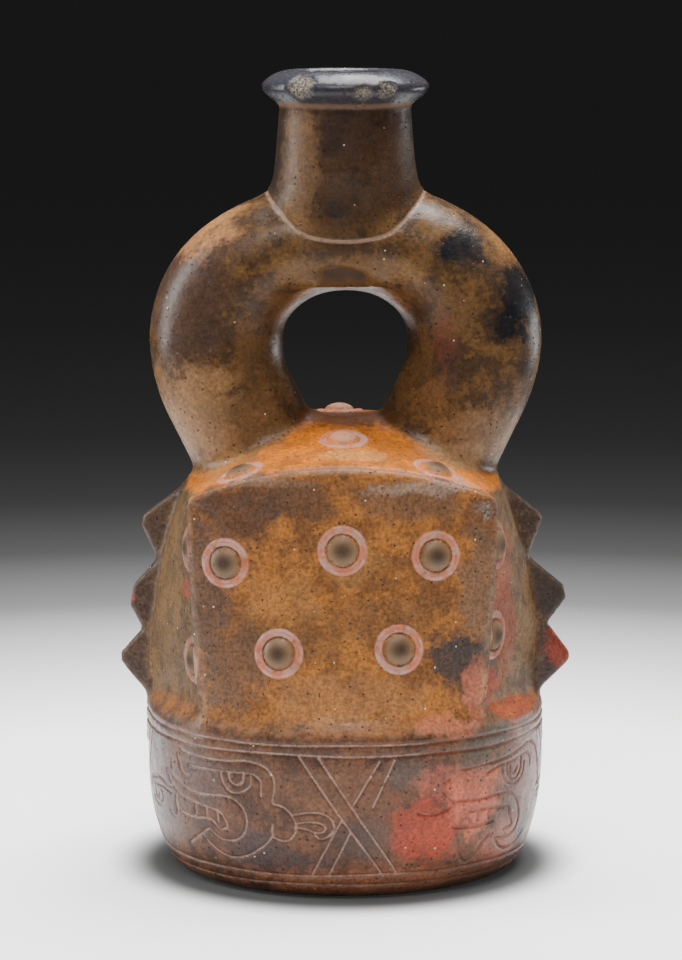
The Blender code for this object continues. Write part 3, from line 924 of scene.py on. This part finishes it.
chip = np.zeros(len(points))
for middle, radius, depth in CHIPS:
    far = np.linalg.norm(points - middle, axis=1) / radius + 0.22 * ragged(points)
    chip = np.maximum(chip, np.clip((1.0 - far) * 2.2, 0.0, 1.0) * outer * depth)
chipped = chip > 0.0
_, slope = slope_of(points[chipped])
slope /= np.linalg.norm(slope, axis=1)[:, None]
points[chipped] -= slope * (chip[chipped] * (1.0 + 0.35 * ragged(points[chipped] * 1.9)))[:, None]
print("points inside chips:", int(chipped.sum()))

# %% [markdown]
# ## What each place is made of
# A shader can't tell the roof from the stirrup, but the fields can. Each part's share in a point is
# stored as an attribute, from 0 to 1, and fades over a millimetre at the joints.

# %% Attributes for the parts
x, y, z = points.T
panel, wall, roof = chamber_parts(x, y, z)
# The spout's own colour begins here, though its field reaches deeper
SPOUT_COLOR_FROM = 213.0
FAR_OFF = 50.0
PART_FADE = 0.7
JOINT_FADE = 1.6
EDGE_WIDTH = 1.1
LEDGE_FROM = 58.4


def softly(difference, width):
    """From 0 to 1 while a difference goes through 0, over a width."""
    return np.clip(0.5 + difference / width, 0.0, 1.0)


nearness = {
    "drum": np.where(within(z, "drum"), drum_field(x, y, z), FAR_OFF),
    "chamber": np.where(within(z, "chamber"), chamber_field(x, y, z), FAR_OFF),
    "tooth": teeth_field(x, y, z),
    "stirrup": np.where(within(z, "stirrup"), stirrup_field(x, y, z), FAR_OFF),
    "spout": np.where(z > SPOUT_COLOR_FROM, spout_field(x, y, z), FAR_OFF),
}
weight = {name: np.exp(-np.maximum(field, -0.5) / PART_FADE) for name, field in nearness.items()}
total = sum(weight.values()) + 1e-12
share = {name: np.clip(value / total, 0.0, 1.0) for name, value in weight.items()}
on_roof = softly(roof - np.maximum(panel, wall), JOINT_FADE)
share["roof"] = share["chamber"] * on_roof
share["panel"] = share["chamber"] * softly(panel - wall, JOINT_FADE) * (1.0 - on_roof)
share["ledge"] = share["drum"] * softly(z - LEDGE_FROM, 1.2)
share["inside"] = 1.0 - outer.astype(float)
eaves = np.where(roof > -6.0, np.minimum(np.abs(panel - roof), np.abs(wall - roof)), 9.0)
corners = np.minimum(np.abs(panel - wall), eaves)
rim = np.hypot(np.maximum(DRUM_RADIUS - 0.6 - np.hypot(x, y), 0.0), z - 58.0)
at_corner, at_rim = (np.exp(-((away / EDGE_WIDTH) ** 2)) for away in (corners, rim))
share["edge"] = np.maximum(share["chamber"] * at_corner, share["drum"] * at_rim)
share["chip"] = np.clip(chip / 0.5, 0.0, 1.0)
del share["chamber"]
print("attributes:", ", ".join(share))

# %% [markdown]
# ## Carving with Geometry Nodes
# Drawn lines, seams and buttons are guides: a mesh of bare edges, or of bare points. For each point of
# the net the nodes measure how near the next guide is, and push the point in or out by that. So one
# rule carves four metres of line and all the buttons, and its width and depth are inputs.


# %% Guides and net as meshes
def mesh_of_lines(name, lines):
    """A mesh of edges that join each line's points, or of bare points."""
    mesh = bpy.data.meshes.new(name)
    edges, start = [], 0
    for line in lines:
        edges += [(i, i + 1) for i in range(start, start + len(line) - 1)]
        start += len(line)
    mesh.from_pydata([tuple(point * MM) for line in lines for point in line], edges, [])
    return placed(name, mesh)


def mesh_of_net(name):
    mesh = bpy.data.meshes.new(name)
    mesh.vertices.add(len(points))
    mesh.vertices.foreach_set("co", (points * MM).ravel())
    mesh.loops.add(faces.size)
    mesh.loops.foreach_set("vertex_index", faces.ravel())
    mesh.polygons.add(len(faces))
    mesh.polygons.foreach_set("loop_start", np.arange(0, faces.size, 3))
    mesh.update(calc_edges=True)
    for attribute, values in share.items():
        mesh.attributes.new(attribute, "FLOAT", "POINT").data.foreach_set("value", values)
    mesh.shade_smooth()
    return placed(name, mesh)


guides = {
    "Lines": mesh_of_lines("guide_lines", incised),
    "Seams": mesh_of_lines("guide_seams", seams),
    "Buttons": mesh_of_lines("guide_buttons", [button[None] for button in buttons]),
}
net = mesh_of_net("net")
print("net:", len(net.data.polygons), "triangles")

# %% [markdown]
# The tool left a rounded groove with a slightly wavering width. A button is a dome with a flat ring
# round it, and a scored circle on each side of the ring.

# %% Carving tree
CARVING = {
    "Line Width": 0.00095,
    "Line Depth": 0.00042,
    "Seam Width": 0.0013,
    "Seam Depth": 0.00040,
    "Boss Radius": 0.0053,
    "Boss Height": 0.0024,
    "Ring Inside": 0.0059,
    "Ring Outside": 0.0083,
    "Ring Height": 0.00035,
    "Gutter Depth": 0.00035,
    "Scored Depth": 0.00025,
}


def carving_tree(finish):
    tree = bpy.data.node_groups.new("carve", "GeometryNodeTree")
    tree.interface.new_socket("Geometry", in_out="INPUT", socket_type="NodeSocketGeometry")
    for name in guides:
        tree.interface.new_socket(name, in_out="INPUT", socket_type="NodeSocketObject")
    for name in CARVING:
        tree.interface.new_socket(name, in_out="INPUT", socket_type="NodeSocketFloat")
    tree.interface.new_socket("Geometry", in_out="OUTPUT", socket_type="NodeSocketGeometry")
    given = tree.nodes.new("NodeGroupInput")
    size = {socket.name: Socket(tree, socket) for socket in given.outputs if socket.name}
    shape = size["Geometry"]

    def nearest(name, element):
        guide = shape.node("GeometryNodeObjectInfo", {"Object": size[name]}, "Geometry")
        return guide.node("GeometryNodeProximity", {0: guide}, "Distance", target_element=element)

    place = shape.node("GeometryNodeInputPosition")
    waver = place.node("ShaderNodeTexNoise", {"Vector": place, "Scale": 260.0, "Detail": 2.0}) * 0.5 + 0.75
    to_line, to_seam = nearest("Lines", "EDGES"), nearest("Seams", "EDGES")
    to_button = nearest("Buttons", "POINTS")
    half_line, half_seam = size["Line Width"] * waver * 0.75, size["Seam Width"] * waver * 0.75
    groove = to_line.smooth_step(half_line * 0.1, half_line, 1.0, 0.0)
    seam = to_seam.smooth_step(half_seam * 0.1, half_seam, 1.0, 0.0)
    share = to_button / size["Boss Radius"]
    dome = (1.0 - share * share).clamped() ** 0.62 * size["Boss Height"]
    inside, outside = size["Ring Inside"], size["Ring Outside"]
    ring = to_button.smooth_step(inside - 0.0003, inside + 0.0002)
    ring = ring * to_button.smooth_step(outside - 0.0002, outside + 0.0005, 1.0, 0.0)
    gutter = (to_button - inside + 0.0003).maths("ABSOLUTE").smooth_step(0.0, 0.0006, 1.0, 0.0)
    scored = (to_button - outside - 0.0003).maths("ABSOLUTE").smooth_step(0.0, 0.0006, 1.0, 0.0)
    height = dome + ring * size["Ring Height"]
    height = height - gutter * size["Gutter Depth"] - scored * size["Scored Depth"]
    height = height - groove * size["Line Depth"] - seam * size["Seam Depth"]
    normal = shape.node("GeometryNodeInputNormal")
    shape = shape.node("GeometryNodeSetPosition", {"Geometry": shape, "Offset": normal.scaled(height)})
    for name, value in (("to_line", to_line), ("to_seam", to_seam), ("to_button", to_button)):
        inputs = {"Geometry": shape, "Name": name, "Value": value * 1000.0}
        shape = shape.node("GeometryNodeStoreNamedAttribute", inputs, data_type="FLOAT", domain="POINT")
    shape = shape.node("GeometryNodeRealizeInstances", {"Geometry": shape})
    shape = shape.node("GeometryNodeSetMaterial", {"Geometry": shape, "Material": finish})
    tree.links.new(shape.output, tree.nodes.new("NodeGroupOutput").inputs[0])
    return tree


def carved(name, finish):
    """The net with its lines and buttons, as a plain mesh of its own."""
    tree = carving_tree(finish)
    modifier = net.modifiers.new("carve", "NODES")
    modifier.node_group = tree
    for socket in tree.interface.items_tree:
        if socket.in_out == "INPUT" and socket.name != "Geometry":
            modifier[socket.identifier] = guides.get(socket.name) or CARVING[socket.name]
    evaluated = net.evaluated_get(bpy.context.evaluated_depsgraph_get())
    mesh = bpy.data.meshes.new_from_object(evaluated)
    mesh.name = name
    piece = placed(name, mesh)
    net.modifiers.remove(modifier)
    for helper in (net, *guides.values()):
        bpy.data.objects.remove(helper)
    return piece


print("sizes that steer the carving:", len(CARVING))

# %% [markdown]
# ## Burnished clay
# The vessel was polished with a stone and fired in smoke, so its brown shifts from orange to umber
# and has blots of black. Each part first gets its own pair of colours, mottled by noise. All positions
# are Object coordinates in millimetres.

# %% Noise and colours
SOOT = (0.010, 0.010, 0.012)
PLUM = (0.060, 0.034, 0.026)
OCHRE = (0.42, 0.19, 0.055)
CINNABAR = (0.41, 0.042, 0.012)
ROSE = (0.47, 0.25, 0.20)
PALE_CLAY = (0.31, 0.26, 0.20)

# For each part: its main colour and the one that the mottling adds
PART_COLORS = (
    ("panel", (0.345, 0.130, 0.032), (0.175, 0.073, 0.026)),
    ("drum", (0.128, 0.053, 0.025), (0.062, 0.028, 0.016)),
    ("ledge", (0.290, 0.105, 0.028), (0.150, 0.066, 0.028)),
    ("roof", (0.640, 0.170, 0.008), (0.400, 0.115, 0.012)),
    ("tooth", (0.085, 0.050, 0.032), (0.045, 0.028, 0.021)),
    ("stirrup", (0.130, 0.066, 0.024), (0.058, 0.031, 0.015)),
    ("spout", (0.055, 0.025, 0.009), (0.028, 0.014, 0.007)),
)
WALL_COLOR = (0.145, 0.076, 0.024)
LIP_COLOR = (0.035, 0.034, 0.042)


def noise(place, size, detail=3.0, seed=0.0, stretch=(1.0, 1.0, 1.0)):
    """Noise whose lumps are about the size given, in millimetres."""
    scale = tuple(1.0 / (size * factor) for factor in stretch)
    lumps = place.vector("MULTIPLY_ADD", scale, (seed * 3.7,) * 3)
    values = {"Vector": lumps, "Scale": 1.0, "Detail": detail, "Roughness": 0.58}
    return lumps.node("ShaderNodeTexNoise", values)


def stored(place, name):
    return place.node("ShaderNodeAttribute", output="Fac", attribute_name=name)


print("parts with colours of their own:", len(PART_COLORS))

# %% [markdown]
# Smoke, handling and red pigment left patches. Some rows are painted light: painted shade on the ridge
# between the stirrup's legs, a painted highlight on the neck's left and along the panel's top edge, and on
# the stirrup's left arm a lighter colour that is partly painted highlight. Each is a row: where it is, how
# far it reaches, its colour and strength. Its edge is frayed by noise, which keeps a patch from looking
# like a round spot.

# %% Patches
PATCHES = (
    # Stirrup
    ((-54, -18, 200), (16, 26, 30), PLUM, 0.85),
    ((-44, -20, 222), (14, 22, 9), PLUM, 0.55),
    # Lighter ochre low and orange high on the stirrup's left arm: partly clay colour, partly painted
    # highlight
    ((-50, -16, 160), (24, 30, 20), (0.40, 0.215, 0.095), 0.58),
    ((-56, -4, 226), (20, 24, 12), (0.50, 0.23, 0.085), 0.62),
    ((-30, -16, 168), (10, 14, 24), (0.115, 0.060, 0.022), 0.75),
    ((43, -18, 218), (11, 14, 7), SOOT, 1.5),
    ((49, -9, 226), (10, 12, 4.5), SOOT, 1.0),
    ((60, -15, 201), (8.5, 18, 15), SOOT, 1.6),
    ((56, -20, 192), (7.5, 13, 8), SOOT, 1.2),
    ((62, -14, 176), (4, 8, 4), SOOT, 0.7),
    ((35, -20, 176), (5, 12, 11), PLUM, 0.75),
    ((34, -20, 186), (4, 12, 10), (0.16, 0.05, 0.028), 0.55),
    ((51, -22, 178), (4, 9, 3.5), SOOT, 0.55),
    ((48, -18, 152), (22, 26, 11), (0.30, 0.165, 0.080), 0.60),
    ((30, -8, 162), (12, 20, 14), (0.23, 0.105, 0.032), 0.60),
    ((0, -20, 210), (30, 22, 6), (0.26, 0.13, 0.035), 0.60),
    ((56, 0, 222), (16, 20, 12), OCHRE, 0.35),
    ((46, 18, 205), (12, 14, 20), SOOT, 0.6),
    ((-50, 18, 180), (14, 14, 22), PLUM, 0.6),
    # Spout
    ((-3, -25, 231), (4.2, 7, 4.0), SOOT, 0.85),
    # Painted highlight: a lighter tan down the neck's left side
    ((-16, -20, 246), (7, 16, 24), (0.20, 0.105, 0.045), 0.60),
    ((4, -23, 258), (12, 9, 9), (0.030, 0.017, 0.012), 0.6),
    ((16, -18, 246), (7, 12, 18), (0.060, 0.030, 0.016), 0.6),
    ((0, -22, 236), (14, 12, 8), (0.050, 0.026, 0.014), 0.4),
    ((0, 24, 248), (12, 10, 20), (0.11, 0.055, 0.022), 0.6),
    # Roof
    ((-41, -30, 143), (14, 16, 6), (0.36, 0.18, 0.060), 0.5),
    ((38, -24, 147), (12, 14, 5), (0.36, 0.21, 0.10), 0.7),
    ((4, -44, 150), (12, 6, 4), (0.62, 0.32, 0.10), 0.5),
    # Painted shade on the roof's ridge between the stirrup's legs
    ((0, -7, 159), (20, 17, 5), (0.085, 0.028, 0.008), 1.0),
    # Front panel
    ((-38, -52, 132), (20, 12, 10), PLUM, 0.80),
    ((-20, -56, 137), (24, 10, 9), (0.085, 0.050, 0.034), 0.80),
    ((24, -54, 136), (26, 10, 7), (0.12, 0.070, 0.044), 0.70),
    ((46, -48, 128), (7, 12, 10), PLUM, 0.65),
    # Painted highlight: a pale band along the panel's rounded top edge at the right
    ((30, -52, 140), (20, 14, 2.8), (0.36, 0.26, 0.20), 0.60),
    ((-30, -56, 142), (22, 12, 1.8), (0.28, 0.18, 0.12), 0.45),
    ((46, -48, 102), (8, 12, 24), (0.150, 0.092, 0.058), 0.85),
    ((-46, -48, 104), (10, 12, 33), (0.095, 0.060, 0.044), 0.95),
    ((-37, -54, 80), (13, 12, 17), (0.115, 0.066, 0.042), 0.85),
    ((2, -58, 116), (12, 8, 9), (0.34, 0.17, 0.055), 0.45),
    ((-22, -58, 102), (14, 8, 10), (0.33, 0.155, 0.050), 0.45),
    ((12, -60, 96), (22, 8, 8), (0.13, 0.070, 0.036), 0.50),
    ((0, -64, 70), (30, 10, 9), (0.34, 0.155, 0.065), 0.60),
    ((38, -52, 82), (12, 10, 10), (0.055, 0.042, 0.038), 1.1),
    ((42, -53, 72), (5, 9, 9), PLUM, 0.75),
    ((44, -51, 71), (5, 9, 10), (0.50, 0.150, 0.085), 0.65),
    ((32, -62, 61), (9, 9, 3.5), (0.50, 0.145, 0.080), 0.60),
    ((40, -56, 58), (8, 10, 3.5), (0.48, 0.140, 0.080), 0.50),
    ((-10, -60, 88), (10, 8, 6), (0.12, 0.068, 0.036), 0.45),
    # Walls and ledges
    ((-56, -34, 102), (4, 5, 4), CINNABAR, 0.40),
    ((-60, -20, 92), (10, 14, 28), (0.150, 0.082, 0.026), 0.50),
    ((55, -32, 96), (8, 12, 30), CINNABAR, 0.35),
    ((53, -40, 70), (7, 8, 9), CINNABAR, 0.65),
    ((60, -28, 60), (14, 18, 4), CINNABAR, 0.50),
    ((50, -46, 55), (8, 9, 5), (0.075, 0.060, 0.045), 0.80),
    ((75, -2, 76), (7, 5, 8), CINNABAR, 0.50),
    ((-76, -2, 95), (2.5, 4, 4), CINNABAR, 0.40),
    ((70, -2, 96), (8, 6, 9), (0.035, 0.026, 0.022), 0.70),
    # Drum
    ((-64, -26, 34), (12, 14, 22), (0.105, 0.075, 0.080), 0.70),
    ((-48, -50, 40), (9, 12, 9), (0.10, 0.062, 0.056), 0.65),
    ((-29, -60, 17), (13, 12, 8), (0.060, 0.040, 0.038), 0.85),
    ((-12, -64, 12), (11, 10, 5), (0.055, 0.036, 0.034), 0.80),
    ((8, -68, 22), (9, 8, 9), (0.080, 0.050, 0.042), 0.65),
    ((21, -66, 45), (9, 8, 6), (0.085, 0.062, 0.050), 0.70),
    ((28, -62, 24), (15, 14, 13), CINNABAR, 0.72),
    ((32, -61, 41), (10, 12, 6), (0.35, 0.085, 0.050), 0.60),
    ((45, -53, 32), (12, 14, 12), (0.52, 0.125, 0.065), 0.85),
    ((55, -42, 16), (12, 14, 10), (0.36, 0.11, 0.060), 0.65),
    ((62, -30, 40), (10, 14, 14), (0.26, 0.12, 0.095), 0.60),
    ((44, -52, 50), (8, 10, 6), (0.070, 0.060, 0.045), 0.65),
    ((16, -68, 12), (10, 8, 5), (0.22, 0.085, 0.050), 0.60),
    ((-10, -69, 38), (13, 8, 9), (0.19, 0.085, 0.040), 0.45),
    ((10, -64, 6), (50, 18, 6), (0.270, 0.105, 0.055), 0.75),
    ((0, 66, 24), (22, 12, 12), CINNABAR, 0.40),
    ((-40, 52, 30), (14, 16, 14), (0.07, 0.045, 0.040), 0.60),
)


def patch(place, fray, middle, reach):
    """A soft, frayed patch around a middle: 1 inside, 0 outside."""
    away = place.vector("SUBTRACT", middle).vector("MULTIPLY", tuple(1.0 / length for length in reach))
    far = away.vector("LENGTH", output="Value")
    return (far + fray).smooth_step(0.62, 1.22, 1.0, 0.0)


print("patches:", len(PATCHES))

# %% [markdown]
# Colour, gloss and fine relief come from the same masks: grooves hold pale or red pigment, rings are
# rubbed with rose, pits are dark and dull, and the blackened lip has the best polish.

# %% Burnished clay material


def cells(place, size, seed):
    """Distance to the middle of scattered cells and a random number for each."""
    spots = place.vector("MULTIPLY_ADD", (1.0 / size,) * 3, (seed,) * 3)
    dots = spots.node("ShaderNodeTexVoronoi", {"Vector": spots, "Scale": 1.0})
    color = Socket(place.tree, dots.output.node.outputs["Color"])
    return dots, color.node("ShaderNodeSeparateColor", {0: color})


def clay_color(place, masks):
    fine, coarse = noise(place, 2.2, 4.0, 3.0), noise(place, 11.0, 5.0, 1.0)
    mottle = (coarse * 0.62 + fine * 0.38).smooth_step(0.43, 0.57)
    color = mottle.mix(WALL_COLOR, (0.070, 0.036, 0.013))
    for name, main, other in PART_COLORS:
        color = masks[name].mix(color, mottle.mix(main, other))
    fray = (noise(place, 9.0, 4.0, 7.0) - 0.5) * 2.0 + (noise(place, 2.4, 3.0, 9.0) - 0.5) * 0.8
    broken = (fine * 0.6 + coarse * 0.4).smooth_step(0.40, 0.56, 1.0, 0.75)
    for middle, reach, tint, strength in PATCHES:
        color = (patch(place, fray, middle, reach) * strength * broken).mix(color, tint)
    color = masks["lip"].mix(color, LIP_COLOR)
    cloud = noise(place, 26.0, 4.0, 5.0).smooth_step(0.50, 0.66) * 0.30
    color = cloud.mix(color, (0.070, 0.042, 0.026))
    polished = masks["stirrup"] + masks["spout"]
    darkest, palest = polished * 0.08 + 0.60, polished * -0.05 + 1.12
    color = color.scaled(noise(place, 1.1, 4.0, 33.0).smooth_step(0.30, 0.70, darkest, palest))
    # Paler on the chamber's edges and the drum's rim: partly wear, partly a painted highlight on the rounded
    # edges
    worn = masks["edge"] * noise(place, 4.0, 4.0, 11.0).smooth_step(0.42, 0.58) * 0.22
    color = worn.mix(color, (0.32, 0.21, 0.13))
    color = (masks["pit"] * 0.85).mix(color, (0.022, 0.014, 0.010))
    color = (masks["fleck"] * 0.80).mix(color, (0.62, 0.54, 0.42))
    return color


def pigment_color(place, color, masks):
    x = place.node("ShaderNodeSeparateXYZ", {0: place})
    worn = noise(place, 3.0, 4.0, 13.0)
    knob = masks["to_button"].smooth_step(4.2, 5.6, 1.0, 0.0)
    knob_color = masks["to_button"].smooth_step(1.6, 5.3).mix((0.014, 0.010, 0.009), (0.190, 0.115, 0.060))
    dark_knob = (masks["upright"] + x.maths("ABSOLUTE").smooth_step(14.0, 18.0)).clamped()
    color = (knob * 0.93 * dark_knob).mix(color, knob_color)
    color = (knob * 0.80 * (1.0 - dark_knob)).mix(color, (0.46, 0.23, 0.145))
    ring = masks["to_button"].smooth_step(5.6, 6.1) * masks["to_button"].smooth_step(8.1, 8.8, 1.0, 0.0)
    on_panel = x.maths("ABSOLUTE").smooth_step(49.0, 52.0, 1.0, 0.45)
    rubbed = ring * worn.smooth_step(0.32, 0.54, 0.42, 0.88) * on_panel
    rose = noise(place, 5.0, 3.0, 15.0).smooth_step(0.42, 0.60).mix(ROSE, (0.48, 0.155, 0.095))
    color = rubbed.mix(color, rose)
    scored = (masks["to_button"] - 7.1).maths("ABSOLUTE").smooth_step(0.15, 0.45, 0.45, 0.0)
    color = (scored * worn.smooth_step(0.45, 0.6)).mix(color, (0.20, 0.075, 0.050))
    line = masks["to_line"].smooth_step(0.24, 0.57, 1.0, 0.0)
    red_side = (x + (noise(place, 14.0, 2.0, 17.0) - 0.5) * 30.0).smooth_step(14.0, 30.0)
    filling = red_side.mix((0.68, 0.43, 0.32), (0.30, 0.085, 0.050))
    color = (line * worn.smooth_step(0.32, 0.56, 0.35, 0.92)).mix(color, filling)
    shadow = masks["to_line"].smooth_step(0.5, 1.1, 0.35, 0.0) * (1.0 - line)
    color = shadow.mix(color, (0.055, 0.030, 0.024))
    seam = masks["to_seam"].smooth_step(0.35, 0.95, 1.0, 0.0)
    seam_color = masks["high"].mix((0.115, 0.066, 0.040), (0.30, 0.185, 0.125))
    color = (seam * worn.smooth_step(0.30, 0.55, 0.45, 0.90)).mix(color, seam_color)
    under_lip = (masks["z"] + (worn - 0.5) * 2.0 - 266.4).maths("ABSOLUTE").smooth_step(0.3, 1.4, 0.38, 0.0)
    color = under_lip.mix(color, (0.24, 0.125, 0.065))
    broken = noise(place, 0.9, 3.0, 19.0).smooth_step(0.38, 0.62).mix((0.085, 0.070, 0.055), PALE_CLAY)
    return (masks["chip"] * 0.75).mix(color, broken)


def burnished_clay():
    material = bpy.data.materials.new("burnished_clay_surface")
    material.use_nodes = True
    tree = material.node_tree
    shader = tree.nodes["Principled BSDF"]
    metres = Socket(tree, tree.nodes.new("ShaderNodeTexCoord").outputs["Object"])
    place = metres.scaled(1000.0)
    names = ("drum", "tooth", "stirrup", "spout", "roof", "panel", "ledge", "inside", "edge", "chip")
    masks = {name: stored(place, name) for name in (*names, "to_line", "to_seam", "to_button")}
    z = place.node("ShaderNodeSeparateXYZ", {0: place}, "Z")
    masks["z"] = z
    masks["high"] = z.smooth_step(190.0, 200.0)
    masks["lip"] = (z + (noise(place, 3.0, 2.0, 21.0) - 0.5) * 1.2).smooth_step(266.6, 268.0)
    masks["upright"] = 1.0 - masks["roof"]
    others = masks["drum"]
    for name in ("tooth", "stirrup", "spout", "roof", "panel"):
        others = others + masks[name]
    masks["wall"] = (1.0 - others - masks["inside"]).clamped()
    dots, chance = cells(place, 2.1, 2.0)
    masks["pit"] = dots.smooth_step(0.10, 0.24, 1.0, 0.0) * chance.smooth_step(0.62, 0.70)
    dots, chance = cells(place, 3.4, 8.0)
    masks["fleck"] = dots.smooth_step(0.06, 0.13, 1.0, 0.0) * chance.smooth_step(0.84, 0.88)
    color = pigment_color(place, clay_color(place, masks), masks)
    color = masks["inside"].mix(color, (0.070, 0.045, 0.030))
    tree.links.new(color.output, shader.inputs["Base Color"])

    grain = noise(place, 0.55, 3.0, 23.0)
    smear = noise(place, 5.0, 4.0, 25.0)
    gloss = masks["spout"] * 0.14 + masks["lip"] * -0.22 + masks["ledge"] * 0.28 + masks["tooth"] * 0.12
    gloss = gloss + masks["wall"] * 0.32 + masks["roof"] * 0.14 + masks["edge"] * 0.12
    gloss = gloss + masks["to_button"].smooth_step(4.2, 5.6, 0.20, 0.0)
    rough = smear.smooth_step(0.35, 0.65, 0.27, 0.40) + gloss + masks["pit"] * 0.4 + masks["chip"] * 0.5
    line = masks["to_line"].smooth_step(0.28, 0.62, 1.0, 0.0)
    rough = (rough + line * 0.3 + masks["inside"] * 0.4).maths("MINIMUM", 0.95)
    tree.links.new(rough.output, shader.inputs["Roughness"])

    strokes = noise(place, 1.3, 2.0, 27.0, (9.0, 9.0, 1.0)) * (1.0 - masks["ledge"])
    scratches = noise(place, 0.8, 2.0, 29.0, (7.0, 1.0, 1.0)) * (masks["ledge"] + masks["roof"])
    height = grain * 0.055 + smear * 0.30 + strokes * 0.10 + scratches * 0.22
    height = height - masks["pit"] * 0.28 - masks["chip"] * noise(place, 0.8, 3.0, 31.0) * 0.9
    bump = height.node("ShaderNodeBump", {"Height": height, "Strength": 0.9, "Distance": 0.001})
    tree.links.new(bump.output, shader.inputs["Normal"])
    shader.inputs["Specular IOR Level"].default_value = 0.19
    shader.inputs["Coat Weight"].default_value = 0.05
    shader.inputs["Coat Roughness"].default_value = 0.22
    return material


vessel = carved("stirrup_vessel", burnished_clay())
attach(vessel, "root")
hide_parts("vessel")
print("vessel:", len(vessel.data.polygons), "triangles,", len(vessel.data.materials), "material")

# %% [markdown]
# ## Studio
# The vessel stands on a wide pale table whose colour is painted darker further out, a painted falloff of
# light into the dark. A painted contact shadow darkens it where the base touches it, and close by it glows
# faintly, a painted pool of light. A tall softbox at the left draws the long pale highlight on the
# stirrup, and a small low one behind at the right edges the other side. One above the front and a large
# one overhead light the rest.


# %% Floor
TABLE_RADIUS = 25.0
TABLE_SIDES = 120
# From the darkest part of the contact shadow out to where it ends, in metres from the middle
SHADOW_REACH = (0.066, 0.088)
# Where the table's painted glow fades, in metres from the middle
PAINTED_GLOW_REACH = (0.10, 0.42)


def table_top():
    mesh = bpy.data.meshes.new("table_top")
    turns = [math.radians(360.0 / TABLE_SIDES * corner) for corner in range(TABLE_SIDES)]
    rim = [(TABLE_RADIUS * math.cos(turn), TABLE_RADIUS * math.sin(turn), 0.0) for turn in turns]
    mesh.from_pydata(rim, [], [tuple(range(TABLE_SIDES))])
    floor = placed("table_top", mesh)
    material = bpy.data.materials.new("pale_table")
    material.use_nodes = True
    tree = material.node_tree
    place = Socket(tree, tree.nodes.new("ShaderNodeTexCoord").outputs["Object"])
    far = place.vector("LENGTH", output="Value")
    # The table's colour is painted darker further out: a painted falloff of light
    stops = [
        (0.0, (0.98, 0.98, 0.98)), (0.08, (0.94, 0.94, 0.94)), (0.13, (0.50, 0.50, 0.50)),
        (0.177, (0.14, 0.14, 0.143)), (0.23, (0.045, 0.045, 0.045)), (0.29, (0.017, 0.017, 0.017)),
        (0.38, (0.008, 0.008, 0.008)), (1.0, (0.004, 0.004, 0.004)),
    ]
    shade = (far / 3.0).ramp(stops)
    # A painted contact shadow round the base, darkening the table's colour
    contact = far.smooth_step(*SHADOW_REACH, 0.08)
    shade = shade.scaled(contact)
    # A painted glow near the vessel: the table emits light as a painted pool of light
    painted_glow = far.smooth_step(*PAINTED_GLOW_REACH, 0.30, 0.011) * contact
    shader = tree.nodes["Principled BSDF"]
    tree.links.new(shade.output, shader.inputs["Base Color"])
    tree.links.new(painted_glow.output, shader.inputs["Emission Color"])
    shader.inputs["Emission Strength"].default_value = 1.0
    shader.inputs["Roughness"].default_value = 0.9
    shader.inputs["Specular IOR Level"].default_value = 0.1
    mesh.materials.append(material)
    return floor


table_top()
print("floor ready")


# %% Lights
def softbox(name, place, aim, width, height, power):
    data = bpy.data.lights.new(name, "AREA")
    data.shape = "RECTANGLE"
    data.size, data.size_y = width, height
    data.energy = power
    light = placed(name, data)
    light.location = place
    light.rotation_euler = (Vector(aim) - Vector(place)).to_track_quat("-Z", "Y").to_euler()


softbox("left_softbox", (-0.90, 0.10, 0.40), (0.0, 0.0, 0.14), 0.32, 0.80, 9.5)
softbox("right_softbox", (0.80, 0.48, 0.10), (0.0, 0.0, 0.12), 0.40, 0.30, 2.6)
softbox("front_softbox", (-0.10, -0.95, 1.25), (0.0, 0.0, 0.12), 1.10, 0.50, 20.5)
softbox("top_softbox", (0.15, 0.22, 1.20), (0.0, 0.0, 0.10), 0.90, 0.90, 45.0)
world = bpy.data.worlds.new("studio_air")
world.use_nodes = True
world.node_tree.nodes["Background"].inputs["Color"].default_value = (0.5, 0.5, 0.5, 1.0)
world.node_tree.nodes["Background"].inputs["Strength"].default_value = 0.05
bpy.context.scene.world = world
